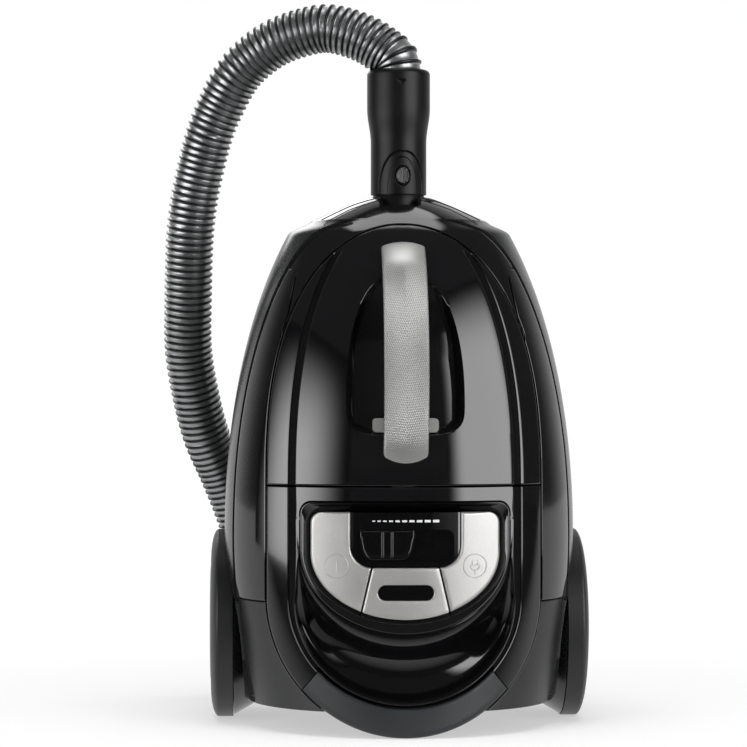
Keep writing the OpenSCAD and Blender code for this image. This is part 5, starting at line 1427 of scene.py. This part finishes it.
def rod_cutter(start_at, end_at, radius, axis, centre, sides=128):
    """Cylinder from start to end along an axis (0 for X, 1 for Y), centred in the other two directions."""
    points = []
    for s in (start_at, end_at):
        for k in range(sides):
            t = 2 * math.pi * k / sides
            u, v = centre[0] + radius * math.cos(t), centre[1] + radius * math.sin(t)
            points.append((s, u, v) if axis == 0 else (u, s, v))
    faces = grid_faces(2, sides, ring=True) + [tuple(range(sides))[::-1], tuple(range(sides, 2 * sides))]
    return cutter(points, faces)


def box_cutter(lo, hi):
    """Box between two corners."""
    points = [(x, y, z) for x in (lo[0], hi[0]) for y in (lo[1], hi[1]) for z in (lo[2], hi[2])]
    faces = [(0, 1, 3, 2), (4, 6, 7, 5), (0, 4, 5, 1), (2, 3, 7, 6), (0, 2, 6, 4), (1, 5, 7, 3)]
    return cutter(points, faces)


def tub():
    """Satin-gloss tub behind the parting plane, cut out for the wheels, the caster and the exhaust door."""
    steps = 96
    # height whose section is used, its share of the full size, height of the ring
    rows = [(25, 0.03, TAIL_Z), (25, 0.5, TAIL_Z), (25, 0.9, TAIL_Z), (25, 0.955, 19.15), (25, 0.985, 20.2),
            (25.5, 0.997, 22), (26, 1, 25)]
    rows += [(z, 1, z) for z in [*np.linspace(28, 340, 79), *np.linspace(343, NOSE_Z - 0.1, 26), NOSE_Z]]

    def section(z, share, up, t):
        a0 = math.degrees(math.acos(min(1, (MID_Y - PART_Y) / (float(crown(z)) - t)) ** (CROWN_BEND / 2)))
        line = []
        for k in range(steps + 1):
            x, y = ring_pt(z, a0 + (360 - 2 * a0) * k / steps, t)
            line.append((float(x) * share, PART_Y + share * (float(y) - PART_Y), up))
        return line

    outer = [section(z, s, up, 0) for z, s, up in rows]
    inner = [section(z, s, max(up, TAIL_Z + WALL + i * 0.02), WALL) for i, (z, s, up) in enumerate(rows)]
    m, n = len(rows), steps + 1
    points = [p for line in outer + inner for p in line]
    faces = grid_faces(m, n) + [tuple(f[::-1]) for f in grid_faces(m, n, first=m * n)]
    for i in range(m - 1):
        faces.append((i * n, (m + i) * n, (m + i + 1) * n, (i + 1) * n))
        faces.append((i * n + n - 1, (i + 1) * n + n - 1, (m + i + 1) * n + n - 1, (m + i) * n + n - 1))
    for j in range(n - 1):
        faces.append((j, j + 1, m * n + j + 1, m * n + j))
        faces.append(((m - 1) * n + j, (2 * m - 1) * n + j, (2 * m - 1) * n + j + 1, (m - 1) * n + j + 1))
    obj = piece("tub_shell", points, faces, "housing", tub_abs)
    wheels = [rod_cutter(side * 101.5, side * 200, 80.8, 0, (47.5, 75)) for side in (-1, 1)]
    caster = rod_cutter(60, 130, 29, 1, (0, 345))
    exhaust_door = box_cutter((-68.8, 95, 77.2), (-7.2, 130, 153))
    return cut_with(obj, [*wheels, caster, exhaust_door])


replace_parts(tub(), "base_housing")

turned("motor_post", [(20, 14), (50.6, 14), (51.6, 13.7), (52, 13)], (-44, 15), "z", "housing", tub_abs)
turned("cup_post", [(75.3, 11.4), (75.9, 12), (108, 12)], (0, 240), "y", "housing", tub_abs)


def parking_bracket():
    """Bracket under the body that takes a floor tool's hook: a rounded block with an open slot."""
    half, root, front, r = 20.0, 108.5, 119.5, 2.5
    outline = [(-half, root), (half, root)]
    for cx, a0 in ((half - r, 0), (r - half, 90)):
        outline += [(cx + r * math.cos(math.radians(a0 + a)), front - r + r * math.sin(math.radians(a0 + a)))
                    for a in range(0, 91, 15)]
    rows = [[(x - math.copysign(d, x), min(y, front - d), z) for x, y in outline]
            for z, d in ((175, 0.8), (175.3, 0.2), (176, 0), (199, 0), (199.7, 0.2), (200, 0.8))]
    m, n = len(rows), len(outline)
    faces = grid_faces(m, n, ring=True) + [tuple(range(n))[::-1], tuple(range((m - 1) * n, m * n))]
    block = piece("parking_bracket", flat(rows), faces, "housing", tub_abs, smooth=False)
    return cut_with(block, [box_cutter((-14, 111.5, 174), (14, 118, 201))])


parking_bracket()

# ------------------------------------------------------------------ finishes of the parts' own solids

FINISHES = {
    satin_abs: ["body_frame", "handle_core", "caster_socket", "exhaust_cover", "hose_grip", "rear_apron"],
    cuff_pp: ["hose_cuff", "inlet_collar"],
    matt_pp: ["wheel_arches", "caster_fork", "brake_lever"],
    hub_abs: ["wheel_hub_left", "wheel_hub_right"],
    inner_nylon: ["container_top", "vortex_finder", "bulkhead", "reel_bracket", "exhaust_tray"],
    silver_lacquer: ["release_key", "vent_slider"],
    grip_silver: ["handle_grip"],
    black_acrylic: ["indicator_lens", "scale_plate", "slider_knob"],
    satin_button: ["cuff_button"],
    smoked_san: ["dust_cup"],
    solder_mask: ["control_board"],
    seal_foam: ["cup_seal", "inlet_seal"],
    tyre_rubber: ["tyre_left", "tyre_right", "caster_wheel", "motor_mounts", "cord_gland"],
    filter_foam: ["motor_filter"],
    filter_paper: ["exhaust_filter"],
    zinc_steel: ["fan_shroud", "motor_can", "motor_shaft", "bearings", "axles", "screws", "latch_spring"],
    fan_aluminium: ["fan"],
    white_acetal: ["reel_drum", "latch_slide"],
}
for finish, names in FINISHES.items():
    for name in names:
        for material_slot in nodes[name].material_slots:
            material_slot.material = finish
        if not nodes[name].material_slots:
            nodes[name].data.materials.append(finish)

# ------------------------------------------------------------------ floor, background and lights


def studio_floor():
    """Seamless pale paper under the object: it keeps the shadow, and gloss mirrors its near part dim."""
    mat, place = start("white_paper_sweep")
    tooth = add(mat, "ShaderNodeTexNoise", {"Vector": place, "Scale": per(3.3), "Detail": 2.0})
    tone = add(mat, "ShaderNodeMix", {
        "Factor": tooth.outputs[0], MIX_A: colour("#f4f4f4"), MIX_B: colour("#fafafa"),
    }, data_type="RGBA")
    diffuse = add(mat, "ShaderNodeBsdfDiffuse", {"Color": tone.outputs[MIXED]})
    glow = add(mat, "ShaderNodeEmission", {"Color": (1, 1, 1, 1), "Strength": 1.0})
    path = add(mat, "ShaderNodeLightPath")
    seen = add(mat, "ShaderNodeMath", {
        0: path.outputs["Is Camera Ray"], 1: path.outputs["Is Transmission Ray"],
    }, operation="MAXIMUM")
    reach = add(mat, "ShaderNodeVectorMath", {0: place}, operation="LENGTH")
    far = add(mat, "ShaderNodeMapRange", {
        "Value": reach.outputs["Value"], "From Min": 0.22, "From Max": 0.6, "To Min": 0.5, "To Max": 1.0,
    })
    share = add(mat, "ShaderNodeMath", {0: seen.outputs[0], 1: far.outputs[0]}, operation="MULTIPLY")
    both_ways = add(mat, "ShaderNodeMixShader", {
        0: share.outputs[0], 1: diffuse.outputs[0], 2: glow.outputs[0],
    })
    depth = add(mat, "ShaderNodeSeparateXYZ", {"Vector": place}).outputs[1]
    mirrored = add(mat, "ShaderNodeMapRange", {
        "Value": depth, "From Min": -0.32, "From Max": -0.1, "To Min": 0.04, "To Max": 0.9,
    })
    shade = add(mat, "ShaderNodeEmission", {"Color": (1, 1, 1, 1), "Strength": mirrored.outputs[0]})
    shown = add(mat, "ShaderNodeMixShader", {
        0: path.outputs["Is Glossy Ray"], 1: both_ways.outputs[0], 2: shade.outputs[0],
    })
    add(mat, "ShaderNodeOutputMaterial", {"Surface": shown.outputs[0]})
    mesh = bpy.data.meshes.new("floor")
    half, under = 9, -0.0002
    corners = [(x * half, y * half, under) for x, y in ((-1, -1), (1, -1), (1, 1), (-1, 1))]
    mesh.from_pydata(corners, [], [(0, 1, 2, 3)])
    mesh.materials.append(mat)
    obj = bpy.data.objects.new("floor", mesh)
    scene.collection.objects.link(obj)


studio_floor()


def surroundings():
    """White behind the object, a dim room in front of it, plain fill light for matt surfaces."""
    world = bpy.data.worlds.new("studio")
    scene.world = world
    world.use_nodes = True
    world.node_tree.nodes.clear()
    path = add(world, "ShaderNodeLightPath")
    place = add(world, "ShaderNodeTexCoord")
    xyz = add(world, "ShaderNodeSeparateXYZ", {"Vector": place.outputs["Generated"]})
    behind = add(world, "ShaderNodeMapRange", {
        "Value": xyz.outputs[1], "From Min": 0.2, "From Max": 0.9, "To Min": 0.08, "To Max": 0.85,
    }, interpolation_type="SMOOTHSTEP")
    white = add(world, "ShaderNodeBackground", {"Color": (1, 1, 1, 1), "Strength": 1.0})
    room = add(world, "ShaderNodeBackground", {"Color": (1, 1, 1, 1), "Strength": behind.outputs[0]})
    fill = add(world, "ShaderNodeBackground", {"Color": (1, 1, 1, 1), "Strength": 0.4})
    mirror = add(world, "ShaderNodeMath", {
        0: path.outputs["Is Glossy Ray"], 1: path.outputs["Is Transmission Ray"],
    }, operation="MAXIMUM")
    soft = add(world, "ShaderNodeMixShader", {0: mirror.outputs[0], 1: fill.outputs[0], 2: room.outputs[0]})
    seen = add(world, "ShaderNodeMixShader", {
        0: path.outputs["Is Camera Ray"], 1: soft.outputs[0], 2: white.outputs[0],
    })
    add(world, "ShaderNodeOutputWorld", {"Surface": seen.outputs[0]})


surroundings()


def aimed(obj, place, target):
    """The object in the scene at place, its -Z side turned to the target."""
    scene.collection.objects.link(obj)
    obj.location = place
    obj.rotation_euler = (Vector(target) - Vector(place)).to_track_quat("-Z", "Y").to_euler()
    return obj


def softbox(name, place, target, wide, high, watts):
    """Area light for matt and satin surfaces; the gloss shows the reflectors instead."""
    light = bpy.data.lights.new(name, "AREA")
    light.shape, light.size, light.size_y, light.energy = "RECTANGLE", wide, high, watts
    obj = aimed(bpy.data.objects.new(name, light), place, target)
    obj.visible_glossy = False
    return obj


def reflector(name, place, target, wide, high, strength, fade=(1.0, 1.0)):
    """Sheet of glowing cloth with soft edges that only gloss and metal show."""
    mat, spot = start(name)
    xyz = add(mat, "ShaderNodeSeparateXYZ", {"Vector": spot})
    glow = None
    for axis, half, soft in ((0, wide / 2, fade[0]), (1, high / 2, fade[1])):
        far = add(mat, "ShaderNodeMath", {0: xyz.outputs[axis]}, operation="ABSOLUTE")
        edge = add(mat, "ShaderNodeMapRange", {
            "Value": far.outputs[0], "From Min": half * (1 - soft), "From Max": half,
            "To Min": 1.0, "To Max": 0.0,
        }, interpolation_type="SMOOTHERSTEP")
        glow = edge if glow is None else add(
            mat, "ShaderNodeMath", {0: glow.outputs[0], 1: edge.outputs[0]}, operation="MULTIPLY"
        )
    output = add(mat, "ShaderNodeMath", {0: glow.outputs[0], 1: strength}, operation="MULTIPLY")
    light = add(mat, "ShaderNodeEmission", {"Color": (1, 1, 1, 1), "Strength": output.outputs[0]})
    add(mat, "ShaderNodeOutputMaterial", {"Surface": light.outputs[0]})
    mesh = bpy.data.meshes.new(name)
    w, h = wide / 2, high / 2
    mesh.from_pydata([(-w, -h, 0), (w, -h, 0), (w, h, 0), (-w, h, 0)], [], [(0, 1, 2, 3)])
    mesh.materials.append(mat)
    obj = aimed(bpy.data.objects.new(name, mesh), place, target)
    obj.visible_camera = obj.visible_diffuse = obj.visible_shadow = obj.visible_transmission = False
    return obj


softbox("left_softbox", (-1.5, -1.5, 0.7), (0, 0, 0.25), 0.9, 1.4, 14)
softbox("right_softbox", (1.5, -1.5, 0.7), (0, 0, 0.25), 0.9, 1.4, 14)
softbox("top_softbox", (0.0, -0.3, 2.0), (0, 0, 0.2), 1.4, 1.2, 26)
reflector("left_reflector", (-1.82, -1.05, 0.25), (0, 0, 0.25), 3.4, 2.5, 6.0)
reflector("right_reflector", (1.49, -1.49, 0.3), (0, 0, 0.3), 2.1, 4.6, 5.4, fade=(0.45, 0.65))
reflector("top_reflector", (0.0, 0.25, 1.9), (0, 0.2, 0.4), 1.0, 0.8, 3.0, fade=(0.3, 0.3))
reflector("back_reflector", (-0.55, 1.5, 1.25), (0, 0, 0.4), 2.0, 1.1, 3.5, fade=(0.4, 0.4))

scene.view_settings.view_transform = "Standard"
